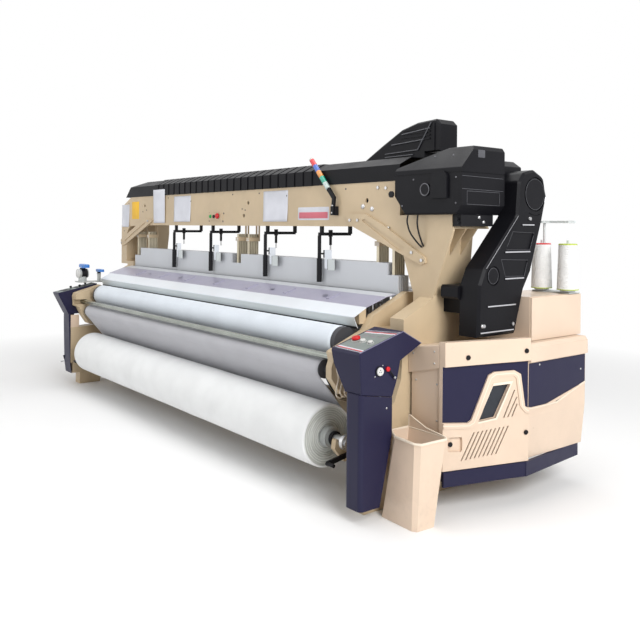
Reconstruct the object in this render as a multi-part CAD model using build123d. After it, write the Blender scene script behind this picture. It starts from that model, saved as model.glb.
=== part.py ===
from build123d import *
import os
from math import acos, atan2, cos, degrees, hypot, pi, radians, sin, tan

# Wide water-jet loom with an overhead dobby.
# Lengths are millimetres. X runs along the width to the drive end, Y to the back, Z up.
# Every Y below is counted from the front of the feet, and set_down moves it to the part's own origin.

# Overall
half_width = 2590.0
back_reach = 1763.0
front_reach = -200.0

# Clearances
run_gap = 0.05
slide_gap = 0.5
cover_gap = 3.0
seat_gap = 0.3

# Side frames
leg_outer_x = 2150.0
leg_wall = 110.0
leg_inner_x = leg_outer_x - leg_wall
leg_front_y = 12.0
foot_depth = 203.0
leg_height = 560.0
base_lift = 60.0
mid_foot_y = (580.0, 780.0)
rear_foot_y = (1140.0, 1440.0)
deck_z = 1163.0
deck_front_y = 585.0
deck_back_y = 900.0
slope_foot = (307.0, 1038.0)
slope_knee = (492.0, 1119.0)
plate_wall = 50.0
plate_inner_right = 1850.0
block_inner_left = 1930.0
left_wall_inner = 2012.0
shelf_z = (860.0, 968.0)
neck_inner_x = 1986.0
neck_y = (550.0, 880.0)
neck_pocket_deep = 30.0

# Cross beams
front_beam_y = (250.0, 410.0)
front_beam_z = (200.0, 360.0)
rear_beam_y = (900.0, 1040.0)
rear_beam_z = (120.0, 260.0)
mid_beam_y = (790.0, 920.0)
mid_beam_z = (738.0, 858.0)
beam_flange = 20.0
breast_beam_y = (238.0, 290.0)
breast_beam_z = 985.0

# Cloth roll
roll_axis = (48.0, 343.0)
roll_radius = 185.0
roll_x = (-1800.0, 1795.0)
roll_tube_radius = 62.0
roll_shaft_radius = 30.0
roll_bracket_x = 1888.0
roll_bracket_wall = 36.0
hub_radius = 58.0
hub_long = 34.0
shaft_end_x = 1985.0
lever_wall = 14.0
lever_pin_radius = 12.0
lever_pivot = (118.0, 268.0)
lever_tip = (-62.0, 236.0)

# Take-up
take_axis = (170.0, 880.0)
take_radius = 90.0
take_x = (-1890.0, 1808.0)
take_journal_radius = 28.0
press_axis = (45.0, 730.0)
press_radius = 56.0
press_x = (-1870.0, 1775.0)
press_journal_radius = 18.0
rod_axis = (20.0, 815.0)
rod_radius = 20.0
rod_notch_radius = 24.0
rod_left_x = -2012.0
web_thick = 2.0
web_x = (-1850.0, 1770.0)
bearing_radius = 44.0

# Breast cover and reed shield
breast_x = (-1985.0, 1848.0)
breast_wall = 4.0
breast_foot = (225.0, 962.0)
breast_nose = (195.0, 1029.0)
breast_top = (295.0, 1082.0)
shield_back = (457.0, 1135.0)
shield_lip = (535.0, 1150.0)
shield_wall = 3.0
shield_rib_x = (-1450.0, -970.0, -490.0, -10.0, 470.0, 950.0, 1430.0)

# Sley
sley_axis = (500.0, 450.0)
sley_shaft_radius = 35.0
sley_x = (-1840.0, 1790.0)
sword_x = (-1680.0, -840.0, 0.0, 840.0, 1680.0)
sword_wall = 28.0
sley_beam_y = (462.0, 532.0)
sley_beam_z = (930.0, 990.0)
reed_y = (494.0, 502.0)
reed_z = (984.0, 1094.0)
reed_groove_deep = 6.0
reed_rail = 12.0
dent_count = 110

# Heald frames
frame_count = 6
frame_first_y = 567.0
frame_pitch = 16.0
frame_thick = 10.0
frame_x = (-2000.0, 1840.0)
frame_panel_x = (-1870.0, 1745.0)
frame_top_z = 1335.0
frame_step_z = 1260.0
stave_low_z = 1150.0
bottom_stave_z = (780.0, 862.0)
brace_wide = 26.0
notch_x = (-120.0, 20.0)
heald_thick = 3.0
heald_slots = 22
lift_bar_wide = 22.0
lift_bar_thick = 8.0
lift_bar_top = 1498.0
deep_bar_x = (-1932.0, -30.0, 1795.0)
short_bar_x = (-1690.0, 130.0, 1650.0)
bar_step = 7.0

# Overhead beam and uprights
dobby_floor = 1636.0
beam_x = 2290.0
beam_y = (550.0, 870.0)
beam_z = (1565.0, 1850.0)
beam_corner = (2070.0, 1757.0)
beam_step_x = 1866.0
beam_step_z = dobby_floor - seat_gap
skin = 16.0
beam_holes = ((148.0, 1747.0), (85.0, 1646.0), (1562.0, 1733.0), (-1746.0, 1756.0))
beam_hole_radius = 16.0
upright_top_x = (1783.0, 2298.0)
upright_low_x = (1986.0, 2151.0)
left_upright_x = (-2302.0, -1905.0)
left_upright_top_x = -1840.0
top_flange = 10.0
upright_depth = (550.0, 868.0)
rib_wall = 10.0

# Beam top cover
cover_wall = 4.0
cover_front_z = 1950.0
cover_ridge = (650.0, 2000.0)
cover_back = (790.0, 2003.0)
cover_rear_z = 1950.0
cover_end_x = (-2070.0, -1880.0)
rib_x = (-1510.0, 965.0)
rib_pitch = 105.0
rib_wide = 82.0
rib_rise = 6.0

# Domed end cover
dome_y = (764.0, 930.0)
dome_x = (1290.0, 2000.0)
dome_crest_z = 2242.0
dome_round = 18.0
louvre_count = 4
louvre_pitch = 23.0
louvre_low_z = 2118.0
louvre_proud = 6.0

# Dobby
dobby_x = (1873.0, 2402.0)
dobby_y = (500.0, 880.0)
dobby_z = (dobby_floor, 2030.0)
dobby_lean_z = 1900.0
dobby_lean_y = 622.0
dobby_rear_y = 1150.0
dobby_rear_x = (2012.0, 2318.0)
dobby_rear_z = (1660.0, 1975.0)
seam_z = 1870.0
seam_deep = 4.0
seam_high = 6.0
boss_x = (2180.0, 2305.0)
boss_z = (1730.0, 1885.0)
boss_proud = 16.0
disc_centre = (2128.0, 1783.0)
disc_radius = 38.0
block_y = (556.0, 838.0)
block_z = (1570.0, dobby_floor)

# Drive case between the side frame and the dobby
case_x = (2318.0, 2457.0)
case_head = (1085.0, 1775.0)
case_head_radius = 138.0
case_foot_z = 945.0
case_round = 14.0
disc_hub = (1102.0, 1765.0)
disc_hub_radius = 104.0
low_disc = (714.0, 1288.0)
low_disc_radius = 57.0
face_cut = 8.0
lug_y = (640.0, 800.0)
lug_z = (1063.0, 1160.0)
arm_bracket_x = 2190.0
arm_bracket_y = (571.0, 805.0)
arm_bracket_z = (1150.0, 1229.0)

# Braces
brace_wall = 14.0
brace_y = beam_y[0] - brace_wall

# Signal lamp
lamp_radius = 18.0
lamp_foot = (1200.0, 1822.0)
lamp_head = (1004.0, 2040.0)
lamp_y = 520.0
lens_count = 5
lens_gap = 1.0
pole_radius = 9.0

# Switch box in the beam's face
box_x = (-479.0, -237.0)
box_z = (1608.0, 1673.0)
box_proud = 5.0
stop_knob = (-311.0, 1646.0)
stop_stem_deep = 14.0

# Hangers
hanger_x = (-1091.0, -419.0, 411.0, 1082.0)
hanger_y = (536.0, 822.0)
hanger_z = 1510.0
hanger_bar = 22.0
rod_front_y = 540.0
rod_thin_radius = 13.0
rod_sleeve_radius = 18.0
sleeve_z = (1176.0, 1340.0)
post_y = 640.0
post_z = 1432.0

# Consoles
console_x = (2136.0, 2262.0)
console_front_y = -113.0
console_back_y = 113.0
console_shell = 4.0
console_foot_z = 72.0
joint_front_z = leg_height + 123.0
joint_back_z = leg_height + 85.0
panel_front = (-117.0, leg_height + 345.0)
panel_back = (197.0, leg_height + 434.0)
head_tip = (341.0, leg_height + 355.0)
head_left_x = 2027.0
socket_place = (15.0, leg_height + 236.0)
socket_radius = 24.0
left_console_x = (-2200.0, -2044.0)
left_column_y = -100.0
left_column_wall = 20.0
left_column_knee_z = 210.0
left_joint_z = 690.0
stop_place = (2082.0, 12.0)
start_place = (2144.0, 6.0)
jog_place = (2206.0, 4.0)
stem_radius = 9.0
stem_deep = 26.0
button_radius = 15.0
mushroom_radius = 24.0
button_travel = 6.0

# Waste bin
bin_foot = ((2228.0, 76.0), (2462.0, 64.0), (2487.0, 80.0), (2494.0, 196.0), (2478.0, 206.0), (2224.0, 206.0),
            (2219.0, 100.0))
bin_rim = ((2306.0, 94.0), (2465.0, 76.0), (2498.0, 94.0), (2504.0, 272.0), (2474.0, 300.0), (2205.0, 300.0),
           (2205.0, 163.0))
bin_height = 450.0
bin_back_z = 466.0
bin_hump_z = 514.0
bin_wall = 5.0
bin_fold = (5.0, 14.0)

# End covers
door_front_edge = (2409.0, 347.0)
door_rear_edge = (2570.0, 889.0)
door_z = (236.0, 938.0)
door_wall = 22.0
ledge_z = 804.0
ledge_proud = 20.0
apron_proud = 5.0
ridge_proud = 6.0
slot_deep = 12.0
knob_radius = 12.0
knob_high = 5.0
skirt_z = (150.0, 232.0)
skirt_wall = 16.0
rear_cover_y = (door_rear_edge[1] + slide_gap, 1466.0)
rear_cover_x = (2545.0, half_width)
rear_cover_top = 900.0
front_plate_x = (2168.0, 2382.0)
front_plate_y = (358.0, 363.0)
front_plate_top = 870.0
corner_face_y = 346.0
corner_back_y = 560.0
sheet = 5.0
door_pivot = (2590.0, 889.0)

# Control cabinet and yarn stand
cabinet_x = (2190.0, 2520.0)
cabinet_y = (991.0, 1500.0)
cabinet_z = (rear_cover_top, 1157.0)
cabinet_wall = 6.0
cabinet_door_wall = 16.0
cone_radius = (66.0, 57.0)
cone_z = (1180.0, 1462.0)
cone_centres = ((2298.0, 1400.0), (2488.0, 1400.0))
stand_post = (2262.0, 1480.0)
stand_arm_x = (2230.0, 2486.0)
stand_top_z = 1610.0

# Warp side
warp_axis = (1350.0, 600.0)
warp_flange_radius = back_reach - warp_axis[0]
warp_yarn_radius = 300.0
warp_flange_x = (1838.0, 1878.0)
warp_shaft_radius = 45.0
rest_axis = (1382.0, 1080.0)
rest_radius = 60.0
rest_journal_radius = 25.0
rest_x = 1880.0

# Bolts
bolt_radius = 11.0
bolt_high = 8.0


def block(x, y, z):
    """A block between two values along each axis."""
    size = Box(abs(x[1] - x[0]), abs(y[1] - y[0]), abs(z[1] - z[0]))
    return Pos((x[0] + x[1]) / 2, (y[0] + y[1]) / 2, (z[0] + z[1]) / 2) * size


def outline(points, rounding=0.0, corners=None):
    """A flat shape through the points, with all or the listed corners rounded."""
    area = sum(a[0] * b[1] - b[0] * a[1] for a, b in zip(points, points[1:] + points[:1]))
    ordered = points if area > 0 else points[::-1]
    shape = Polygon(*ordered, align=None)
    if rounding > 0:
        picked = shape.vertices()
        if corners is not None:
            chosen = [points[i] for i in corners]
            picked = [v for v in picked if any(hypot(v.X - p[0], v.Y - p[1]) < 0.01 for p in chosen)]
        shape = fillet(picked, rounding)
    return shape


def side_slab(shape, x):
    """A shape drawn in Y and Z, carried along X."""
    return extrude(Plane.YZ.offset(x[0]) * shape, amount=x[1] - x[0])


def front_slab(shape, y):
    """A shape drawn in X and Z, carried along Y."""
    return extrude(Plane.XZ.offset(-y[1]) * shape, amount=y[1] - y[0])


def plan_slab(shape, z):
    """A shape drawn in X and Y, carried along Z."""
    return extrude(Plane.XY.offset(z[0]) * shape, amount=z[1] - z[0])


def bar_x(x, axis, radius):
    """A round bar along X about a point given as Y and Z."""
    return side_slab(Pos(axis[0], axis[1]) * Circle(radius), x)


def bar_y(y, centre, radius):
    """A round bar along Y about a point given as X and Z."""
    return front_slab(Pos(centre[0], centre[1]) * Circle(radius), y)


def bar_z(z, centre, radius):
    """A round bar along Z about a point given as X and Y."""
    return plan_slab(Pos(centre[0], centre[1]) * Circle(radius), z)


def flip(solid):
    """The same piece for the other end of the width."""
    return mirror(solid, about=Plane.YZ)


def set_down(node, *solids):
    """Move the piece to the part's origin, the middle of its floor area, and write it."""
    shift = Pos(0, -(front_reach + back_reach) / 2, 0)
    placed = [shift * s for solid in solids for s in solid.solids()]
    piece = placed[0] if len(placed) == 1 else Compound(children=placed)
    export_step(piece, os.path.join("parts", node + ".step"))


# Side frames

def leg_casting():
    """The outer wall of a side frame at the right end, with its feet and windows."""
    foot_back = leg_front_y + foot_depth
    points = [
        (leg_front_y, 0), (foot_back, 0), (foot_back + 20, base_lift), (mid_foot_y[0] - 20, base_lift),
        (mid_foot_y[0], 0), (mid_foot_y[1], 0), (mid_foot_y[1] + 20, base_lift),
        (rear_foot_y[0] - 20, base_lift), (rear_foot_y[0], 0), (rear_foot_y[1], 0),
        (rear_foot_y[1], base_lift), (rear_foot_y[1] - 20, 2 * base_lift),
        (rear_foot_y[1] - 20, warp_axis[1] + 120), (rest_axis[0] + 60, rest_axis[1] - 60),
        (rest_axis[0] + 60, rest_axis[1] + 60), (rest_axis[0] - 60, rest_axis[1] + 60),
        (rest_axis[0] - 100, rest_axis[1] - 60), (1240, 930), (1000, 1040), (deck_back_y, deck_z),
        (deck_front_y, deck_z), slope_knee, slope_foot, (slope_foot[0], shelf_z[1]), (290, 700),
        (236, leg_height + 15), (leg_front_y, leg_height),
    ]
    wall = side_slab(outline(points), (leg_inner_x, leg_outer_x))
    window = outline([(620, 180), (820, 180), (820, 560), (620, 560)], 40)
    wall -= side_slab(window, (leg_inner_x, leg_outer_x))
    window = outline([(900, 330), (1150, 330), (1150, 560), (900, 560)], 40)
    wall -= side_slab(window, (leg_inner_x, leg_outer_x))
    window = outline([(560, 660), (860, 660), (860, 740), (560, 740)], 30)
    wall -= side_slab(window, (leg_inner_x, leg_outer_x))
    for axis, radius in ((warp_axis, warp_shaft_radius), (sley_axis, sley_shaft_radius),
                         (rest_axis, rest_journal_radius)):
        wall -= bar_x((leg_inner_x, leg_outer_x), axis, radius + run_gap)
    return wall


def neck_casting():
    """The shelf and the neck that carry an upright, right end."""
    shelf = block((plate_inner_right + plate_wall, leg_inner_x), (300, neck_y[1]), shelf_z)
    neck = block((neck_inner_x, leg_outer_x), neck_y, (shelf_z[1], deck_z))
    pocket = outline([(2006, 990), (2130, 990), (2130, 1060), (2090, 1080), (2090, 1140), (2030, 1140)], 12)
    neck -= front_slab(pocket, (neck_y[0], neck_y[0] + neck_pocket_deep))
    side = outline([(580, 1000), (700, 1000), (700, 1120), (620, 1120)], 15)
    neck -= side_slab(side, (leg_outer_x - neck_pocket_deep, leg_outer_x))
    return shelf + neck


def roller_plate(x):
    """The inner wall that carries the rollers, between two values of X at the right end."""
    points = [
        (-14, 850), (240, 950), slope_foot, slope_knee, (deck_front_y, deck_z), (690, deck_z), (720, 1000),
        (720, 640), (420, 600), (170, 570), (60, 600), (-14, 700), (-14, 760), (0, 800),
    ]
    wall = side_slab(outline(points, 12, (0, 10, 11, 12)), x)
    wall -= bar_x(x, take_axis, take_journal_radius + run_gap)
    wall -= bar_x(x, press_axis, press_journal_radius + run_gap)
    return wall


def side_frame_right():
    plate = roller_plate((plate_inner_right, plate_inner_right + plate_wall))
    frame = leg_casting() + neck_casting() + plate
    bearing = bar_x((plate_inner_right - 12, plate_inner_right), (120, 625), bearing_radius)
    return frame + bearing


def side_frame_left():
    """The left casting has a thick roller block with a notch for the spreader rod."""
    points = [
        (-72, 868), (-60, 900), (188, 970), (196, 940), (320, 940), (320, 640), (170, 570), (60, 600), (0, 690),
        (-33, 761), (-66, 775),
    ]
    x = (block_inner_left, leg_inner_x)
    plate = side_slab(outline(points, 10, (0, 1, 9, 10)), x)
    plate -= bar_x((x[0], x[0] + 30), take_axis, take_radius + 14)
    plate -= bar_x(x, take_axis, take_journal_radius + run_gap)
    plate -= bar_x(x, press_axis, press_journal_radius + run_gap)
    notch = (x[0], -rod_left_x + seat_gap)
    plate -= bar_x(notch, rod_axis, rod_notch_radius)
    plate -= block(notch, (-80, rod_axis[0]), (rod_axis[1] - rod_notch_radius, rod_axis[1] + rod_notch_radius))
    wall = outline([(290, 640), (720, 640), (720, 1000), (690, deck_z), (deck_front_y, deck_z), slope_knee,
                    slope_foot, (slope_foot[0], 900), (290, 900)])
    plate += side_slab(wall, (left_wall_inner, leg_inner_x))
    frame = leg_casting() + neck_casting_left() + plate
    seat_y = left_column_y + left_column_wall + seat_gap
    flange = block((leg_inner_x, leg_outer_x), (seat_y, leg_front_y), (left_column_knee_z + 5, leg_height))
    flange += block((leg_inner_x, leg_outer_x), (seat_y + 20, leg_front_y), (112, left_column_knee_z + 5))
    return flip(frame + flange)


def neck_casting_left():
    shelf = block((left_wall_inner, leg_inner_x), (300, neck_y[1]), shelf_z)
    neck = block((left_wall_inner, leg_outer_x), neck_y, (shelf_z[1], deck_z))
    return shelf + neck


def cross_beams():
    """Box beams between the side frames. The front one carries the cloth roll's brackets."""
    beams = []
    for y, z in ((front_beam_y, front_beam_z), (rear_beam_y, rear_beam_z), (mid_beam_y, mid_beam_z)):
        tube = block((-leg_inner_x, leg_inner_x), y, z)
        tube -= block((-leg_inner_x + beam_flange, leg_inner_x - beam_flange),
                      (y[0] + beam_flange / 2, y[1] - beam_flange / 2),
                      (z[0] + beam_flange / 2, z[1]))
        beams.append(tube)
    beams[0] = beams[0] + roll_bracket() + flip(roll_bracket())
    low = breast_rise(breast_beam_y[0]) - seat_gap
    high = breast_rise(breast_beam_y[1]) - seat_gap
    shape = outline([(breast_beam_y[0], breast_beam_z), (breast_beam_y[1], breast_beam_z),
                     (breast_beam_y[1], high), (breast_beam_y[0], low)])
    beams.append(side_slab(shape, (-block_inner_left, plate_inner_right)))
    return beams


def breast_rise(y):
    """The height of the breast cover's underside at a Y."""
    slope = (breast_top[1] - breast_nose[1]) / (breast_top[0] - breast_nose[0])
    return breast_nose[1] - breast_wall + (y - breast_nose[0] - breast_wall * 0.4) * slope


def roll_bracket():
    """A half-open seat under the roll's shaft, right end."""
    x = (roll_bracket_x, roll_bracket_x + roll_bracket_wall)
    y, z = roll_axis
    points = [
        (front_beam_y[0], front_beam_z[0]), (front_beam_y[0], front_beam_z[1]), (y + 66, z + 24),
        (y + 44, z + 24), (y - 44, z + 12), (y - 52, z - 40), (y + 20, z - 120),
    ]
    seat = side_slab(outline(points, 10, (3, 4, 5)), x)
    seat -= bar_x(x, roll_axis, roll_shaft_radius + run_gap)
    reach = roll_shaft_radius + run_gap
    seat -= block(x, (y - reach, y + reach), (z, z + 80))
    seat -= bar_x(x, lever_pivot, lever_pin_radius + run_gap)
    return seat


# Cloth roll and its shaft

def cloth_roll():
    roll = bar_x(roll_x, roll_axis, roll_radius)
    roll = chamfer(roll.edges().filter_by(GeomType.CIRCLE), 4)
    return roll - bar_x(roll_x, roll_axis, roll_tube_radius)


def cloth_roll_shaft():
    tube = bar_x((roll_x[0] - 12, roll_x[1] + 12), roll_axis, roll_tube_radius)
    shaft = bar_x((-shaft_end_x, shaft_end_x), roll_axis, roll_shaft_radius)
    hub = bar_x((roll_x[1] + 12, roll_x[1] + 12 + hub_long), roll_axis, hub_radius)
    hub_left = bar_x((roll_x[0] - 12 - hub_long, roll_x[0] - 12), roll_axis, hub_radius)
    collar = bar_x((roll_bracket_x + 60, roll_bracket_x + 84), roll_axis, roll_shaft_radius + 14)
    return tube + shaft + hub + hub_left + collar + flip(collar)


def roll_clamp_lever():
    """A hand lever on the outer face of the right bracket, below the shaft."""
    face = roll_bracket_x + roll_bracket_wall + slide_gap
    x = (face, face + lever_wall)
    run = hypot(lever_tip[0] - lever_pivot[0], lever_tip[1] - lever_pivot[1])
    turn = degrees(atan2(lever_tip[1] - lever_pivot[1], lever_tip[0] - lever_pivot[0]))
    blade = Pos(*lever_pivot) * Rot(0, 0, turn) * Pos(run / 2, 0) * SlotCenterToCenter(run, 26)
    lever = side_slab(blade, x) + bar_x(x, lever_pivot, 22)
    lever += bar_x((roll_bracket_x + 4, x[0]), lever_pivot, lever_pin_radius)
    return lever + bar_x((x[1], x[1] + 46), lever_tip, 11)


# Take-up rollers and the cloth between them

def take_up_roller():
    drum = bar_x(take_x, take_axis, take_radius)
    ends = (-block_inner_left - 60, plate_inner_right + plate_wall - 4)
    return drum + bar_x(ends, take_axis, take_journal_radius)


def press_roller():
    drum = bar_x(press_x, press_axis, press_radius)
    ends = (-block_inner_left - 60, plate_inner_right + plate_wall - 4)
    return drum + bar_x(ends, press_axis, press_journal_radius)


def spreader_rod():
    return bar_x((rod_left_x, plate_inner_right), rod_axis, rod_radius)


def cloth_web():
    """The cloth lies round the front of the press roller and runs on a common tangent to the roll's rear."""
    inner = press_radius + seat_gap
    outer = inner + web_thick
    far = roll_radius + seat_gap
    apart = hypot(roll_axis[0] - press_axis[0], roll_axis[1] - press_axis[1])
    down = atan2(roll_axis[1] - press_axis[1], roll_axis[0] - press_axis[0])
    leave = down - acos((outer + far) / apart) + 2 * pi
    wrap = radians(128)

    def around(centre, radius, angle):
        return (centre[0] + radius * cos(angle), centre[1] + radius * sin(angle))

    ring = Pos(*press_axis) * (Circle(outer) - Circle(inner))
    middle = (wrap + leave) / 2
    wide = 2 * outer
    wedge = outline([press_axis, around(press_axis, wide, wrap), around(press_axis, wide, middle),
                     around(press_axis, wide, leave)])
    run = outline([around(press_axis, inner, leave), around(press_axis, outer, leave),
                   around(roll_axis, -far, leave), around(roll_axis, -far - web_thick, leave)])
    return side_slab(ring & wedge, web_x) + side_slab(run, web_x)


# Breast cover and reed shield

def folded_sheet(line, wall, x):
    """A sheet bent along a line given in Y and Z, carried along X, with its wall below the line."""
    lower = [(p[0] + wall * 0.4, p[1] - wall) for p in line]
    return side_slab(outline(line + lower[::-1]), x)


def breast_cover():
    top = folded_sheet([breast_nose, breast_top], breast_wall, breast_x)
    apron = [breast_foot, breast_nose, (breast_nose[0] + breast_wall, breast_nose[1] - breast_wall),
             (breast_foot[0] + breast_wall, breast_foot[1])]
    cover = top + side_slab(outline(apron), breast_x)
    return cover


def reed_shield():
    line = [(breast_top[0] + slide_gap, breast_top[1]), shield_back, shield_lip]
    span = (-left_wall_inner + seat_gap, plate_inner_right - seat_gap)
    shield = folded_sheet(line, shield_wall, span)
    for x in shield_rib_x:
        low = (breast_top[0] + 40, breast_top[1] + 11.5)
        high = (breast_top[0] + 130, breast_top[1] + 41)
        pad = outline([low, high, (high[0] - 2, high[1] + 8.5), (low[0] - 2, low[1] + 8.5)])
        shield += side_slab(pad, (x - 18, x + 18))
    return shield


# Sley

def sley():
    shaft = bar_x((-leg_outer_x + 20, leg_outer_x - 20), sley_axis, sley_shaft_radius)
    beam = block(sley_x, sley_beam_y, sley_beam_z)
    groove = (reed_y[0] - slide_gap / 2, reed_y[1] + slide_gap / 2)
    beam -= block(sley_x, groove, (sley_beam_z[1] - reed_groove_deep, sley_beam_z[1]))
    whole = shaft + beam
    for x in sword_x:
        foot = sley_axis[1] - sley_shaft_radius
        points = [(sley_axis[0] - 48, foot), (sley_axis[0] + 48, foot), (sley_axis[0] + 48, 500),
                  (sley_beam_y[1] - 8, sley_beam_z[0]), (sley_beam_y[0] + 8, sley_beam_z[0]),
                  (sley_axis[0] - 48, 500)]
        sword = side_slab(outline(points, 12, (0, 1)), (x - sword_wall / 2, x + sword_wall / 2))
        whole += sword
    return whole


def reed():
    """Two rails joined by flat dents, with open gaps between them."""
    x = (sley_x[0] + 10, sley_x[1] - 10)
    comb = block(x, reed_y, reed_z)
    pitch = (x[1] - x[0] - 2 * reed_rail) / dent_count
    tall = reed_z[1] - reed_z[0] - 2 * reed_rail
    gap = Box(pitch * 0.55, reed_y[1] - reed_y[0], tall)
    middle_y = (reed_y[0] + reed_y[1]) / 2
    middle_z = (reed_z[0] + reed_z[1]) / 2
    first = x[0] + reed_rail + pitch / 2
    gaps = [Pos(first + i * pitch, middle_y, middle_z) * gap for i in range(dent_count)]
    return comb - gaps


# Heald frames

def heald_frame(index):
    """Top and bottom staves, end braces, a band of healds and the lifting bars of one frame."""
    y0 = frame_first_y + index * frame_pitch
    y = (y0, y0 + frame_thick)
    points = [
        (frame_x[0], stave_low_z), (frame_x[1], stave_low_z), (frame_x[1], frame_step_z),
        (frame_panel_x[1], frame_step_z), (frame_panel_x[1], frame_top_z), (notch_x[1], frame_top_z),
        (notch_x[1], frame_step_z), (notch_x[0], frame_step_z), (notch_x[0], frame_top_z),
        (frame_panel_x[0], frame_top_z), (frame_panel_x[0], frame_step_z), (frame_x[0], frame_step_z),
    ]
    frame = front_slab(outline(points), y)
    frame += block(frame_x, y, bottom_stave_z)
    between = (bottom_stave_z[1], stave_low_z)
    frame += block((frame_x[0], frame_x[0] + brace_wide), y, between)
    frame += block((frame_x[1] - brace_wide, frame_x[1]), y, between)
    inside = (frame_x[0] + brace_wide, frame_x[1] - brace_wide)
    middle = y0 + frame_thick / 2
    band = block(inside, (middle - heald_thick / 2, middle + heald_thick / 2), between)
    pitch = (inside[1] - inside[0]) / heald_slots
    tall = between[1] - between[0] - 2 * brace_wide
    slot = Box(pitch * 0.6, heald_thick, tall)
    centre_z = (between[0] + between[1]) / 2
    band -= [Pos(inside[0] + (i + 0.5) * pitch, middle, centre_z) * slot for i in range(heald_slots)]
    frame += band
    bar_y_range = (middle - lift_bar_thick / 2, middle + lift_bar_thick / 2)
    for x in deep_bar_x:
        frame += block((x - lift_bar_wide / 2, x + lift_bar_wide / 2), bar_y_range, (frame_step_z, lift_bar_top))
    for x in short_bar_x:
        frame += block((x - lift_bar_wide / 2, x + lift_bar_wide / 2), bar_y_range, (frame_top_z, lift_bar_top))
    return frame


# Uprights, beam and braces

def upright_right():
    """A flared casting: front wall, core, top flange and side ribs."""
    low, high = upright_low_x, upright_top_x
    y0, y1 = upright_depth
    top = beam_z[0]
    under = top - top_flange
    front = outline([(low[0], deck_z), (low[1], deck_z), (high[1], top - 2 * top_flange), (high[1], top),
                     (high[0], top), (high[0], top - 2 * top_flange), (1880, 1440)], 8, (0, 1))
    casting = front_slab(front, (y0, y0 + skin))
    core = outline([(low[0] + 22, deck_z), (low[1] - 6, deck_z), (low[1] + 30, top), (low[0] - 40, top)])
    casting += front_slab(core, (y0 + skin, y1))
    casting += block(high, (y0, y1), (under, top))
    for y in (y0 + 120, y0 + 215):
        right = outline([(low[1] + 10, 1390), (high[1] - 6, under), (low[1] + 10, under)])
        left = outline([(low[0] - 20, 1420), (low[0] - 20, under), (high[0] + 10, under)])
        casting += front_slab(right, (y, y + rib_wall)) + front_slab(left, (y, y + rib_wall))
    return casting


def upright_left():
    """A straight outer wall and an arched recess, open towards the heald frames."""
    x0, x1 = left_upright_x
    y0, y1 = upright_depth
    top = beam_z[0]
    shape = outline([(x0, deck_z), (x1, deck_z), (left_upright_top_x, 1480), (left_upright_top_x, top), (x0, top)])
    casting = front_slab(shape, (y0, y1))
    recess = outline([(x0 + 130, 1192), (-left_wall_inner, 1192), (-left_wall_inner, deck_z - 1), (-1800, deck_z - 1),
                      (-1800, top - top_flange), (x0 + 130, top - top_flange)], 120, (5,))
    casting -= front_slab(recess, (y0, y0 + 190))
    window = outline([(x0 + 130, 1192), (x1 + 30, 1192), (x1 + 30, 1500), (x0 + 130, 1500)], 60)
    return casting - front_slab(window, (y1 - 90, y1))


def overhead_beam():
    """The box beam. Its right end is low, under the dobby, and its upper left corner is cut off."""
    cx, cz = beam_corner
    points = [
        (-beam_x, beam_z[0]), (beam_x, beam_z[0]), (beam_x, beam_step_z), (beam_step_x, beam_step_z),
        (beam_step_x, beam_z[1]), (-cx, beam_z[1]), (-beam_x, cz),
    ]
    beam = front_slab(outline(points), beam_y)
    for centre in beam_holes:
        beam -= bar_y((beam_y[0], beam_y[0] + skin), centre, beam_hole_radius)
    deep = stop_stem_deep + button_travel + 1
    return beam - bar_y((beam_y[0], beam_y[0] + deep), stop_knob, stem_radius + run_gap)


def brace_right():
    y = (brace_y, beam_y[0])
    points = [(1359, 1632), (1378, 1648), (1560, 1648), (1738, 1572), (2088, 1384), (2096, 1350),
              (2060, 1340), (1936, 1381), (1410, 1574)]
    brace = front_slab(outline(points, 8), y)
    slot = outline([(1520, 1607), (1560, 1612), (1915, 1440), (1900, 1418), (1870, 1420)], 6)
    return brace - front_slab(slot, (brace_y, brace_y + brace_wall / 2))


def brace_left():
    y = (brace_y, beam_y[0])
    points = [(-2294, 1372), (-2262, 1348), (-2180, 1362), (-1564, 1600), (-1556, 1622), (-1739, 1628),
              (-2294, 1412)]
    brace = front_slab(outline(points, 8), y)
    slot = outline([(-2200, 1402), (-2180, 1390), (-1700, 1580), (-1720, 1592)], 5)
    return brace - front_slab(slot, (brace_y, brace_y + brace_wall / 2))


# Beam top cover and the domed end cover

def cover_profile(grow):
    """The section of the top cover, in Y and Z, larger by the given amount."""
    y0, y1 = beam_y
    return outline([
        (y0 - grow, beam_z[1]), (y0 - grow, cover_front_z + grow * 0.4),
        (cover_ridge[0], cover_ridge[1] + grow), (cover_back[0], cover_back[1] + grow),
        (y1 + grow, cover_rear_z + grow * 0.4), (y1 + grow, beam_z[1]),
    ])


def cover_silhouette(shrink):
    """The outline of the top cover seen from the front."""
    ends = cover_end_x
    cx, cz = beam_corner
    return outline([
        (-beam_x, cz), (ends[0], cover_front_z + 5 - shrink), (ends[1], cover_back[1] + 5 - shrink),
        (beam_step_x, cover_back[1] + 20 - shrink), (beam_step_x, beam_z[1]), (-cx, beam_z[1]),
    ])


def beam_top_cover():
    span = (-beam_x, beam_step_x)
    skin_out = side_slab(cover_profile(cover_wall + seat_gap), span)
    skin_in = side_slab(cover_profile(seat_gap), span)
    shell = skin_out & front_slab(cover_silhouette(0), (beam_y[0] - 20, beam_y[1] + 20))
    shell -= skin_in & front_slab(cover_silhouette(2 * cover_wall), (beam_y[0] - 20, beam_y[1] + 20))
    proud = side_slab(cover_profile(cover_wall + seat_gap + rib_rise), (0, rib_wide))
    proud -= side_slab(cover_profile(cover_wall + seat_gap), (0, rib_wide))
    count = int((rib_x[1] - rib_x[0]) // rib_pitch) + 1
    ribs = [Pos(rib_x[0] + i * rib_pitch, 0, 0) * proud for i in range(count)]
    return shell + ribs


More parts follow.
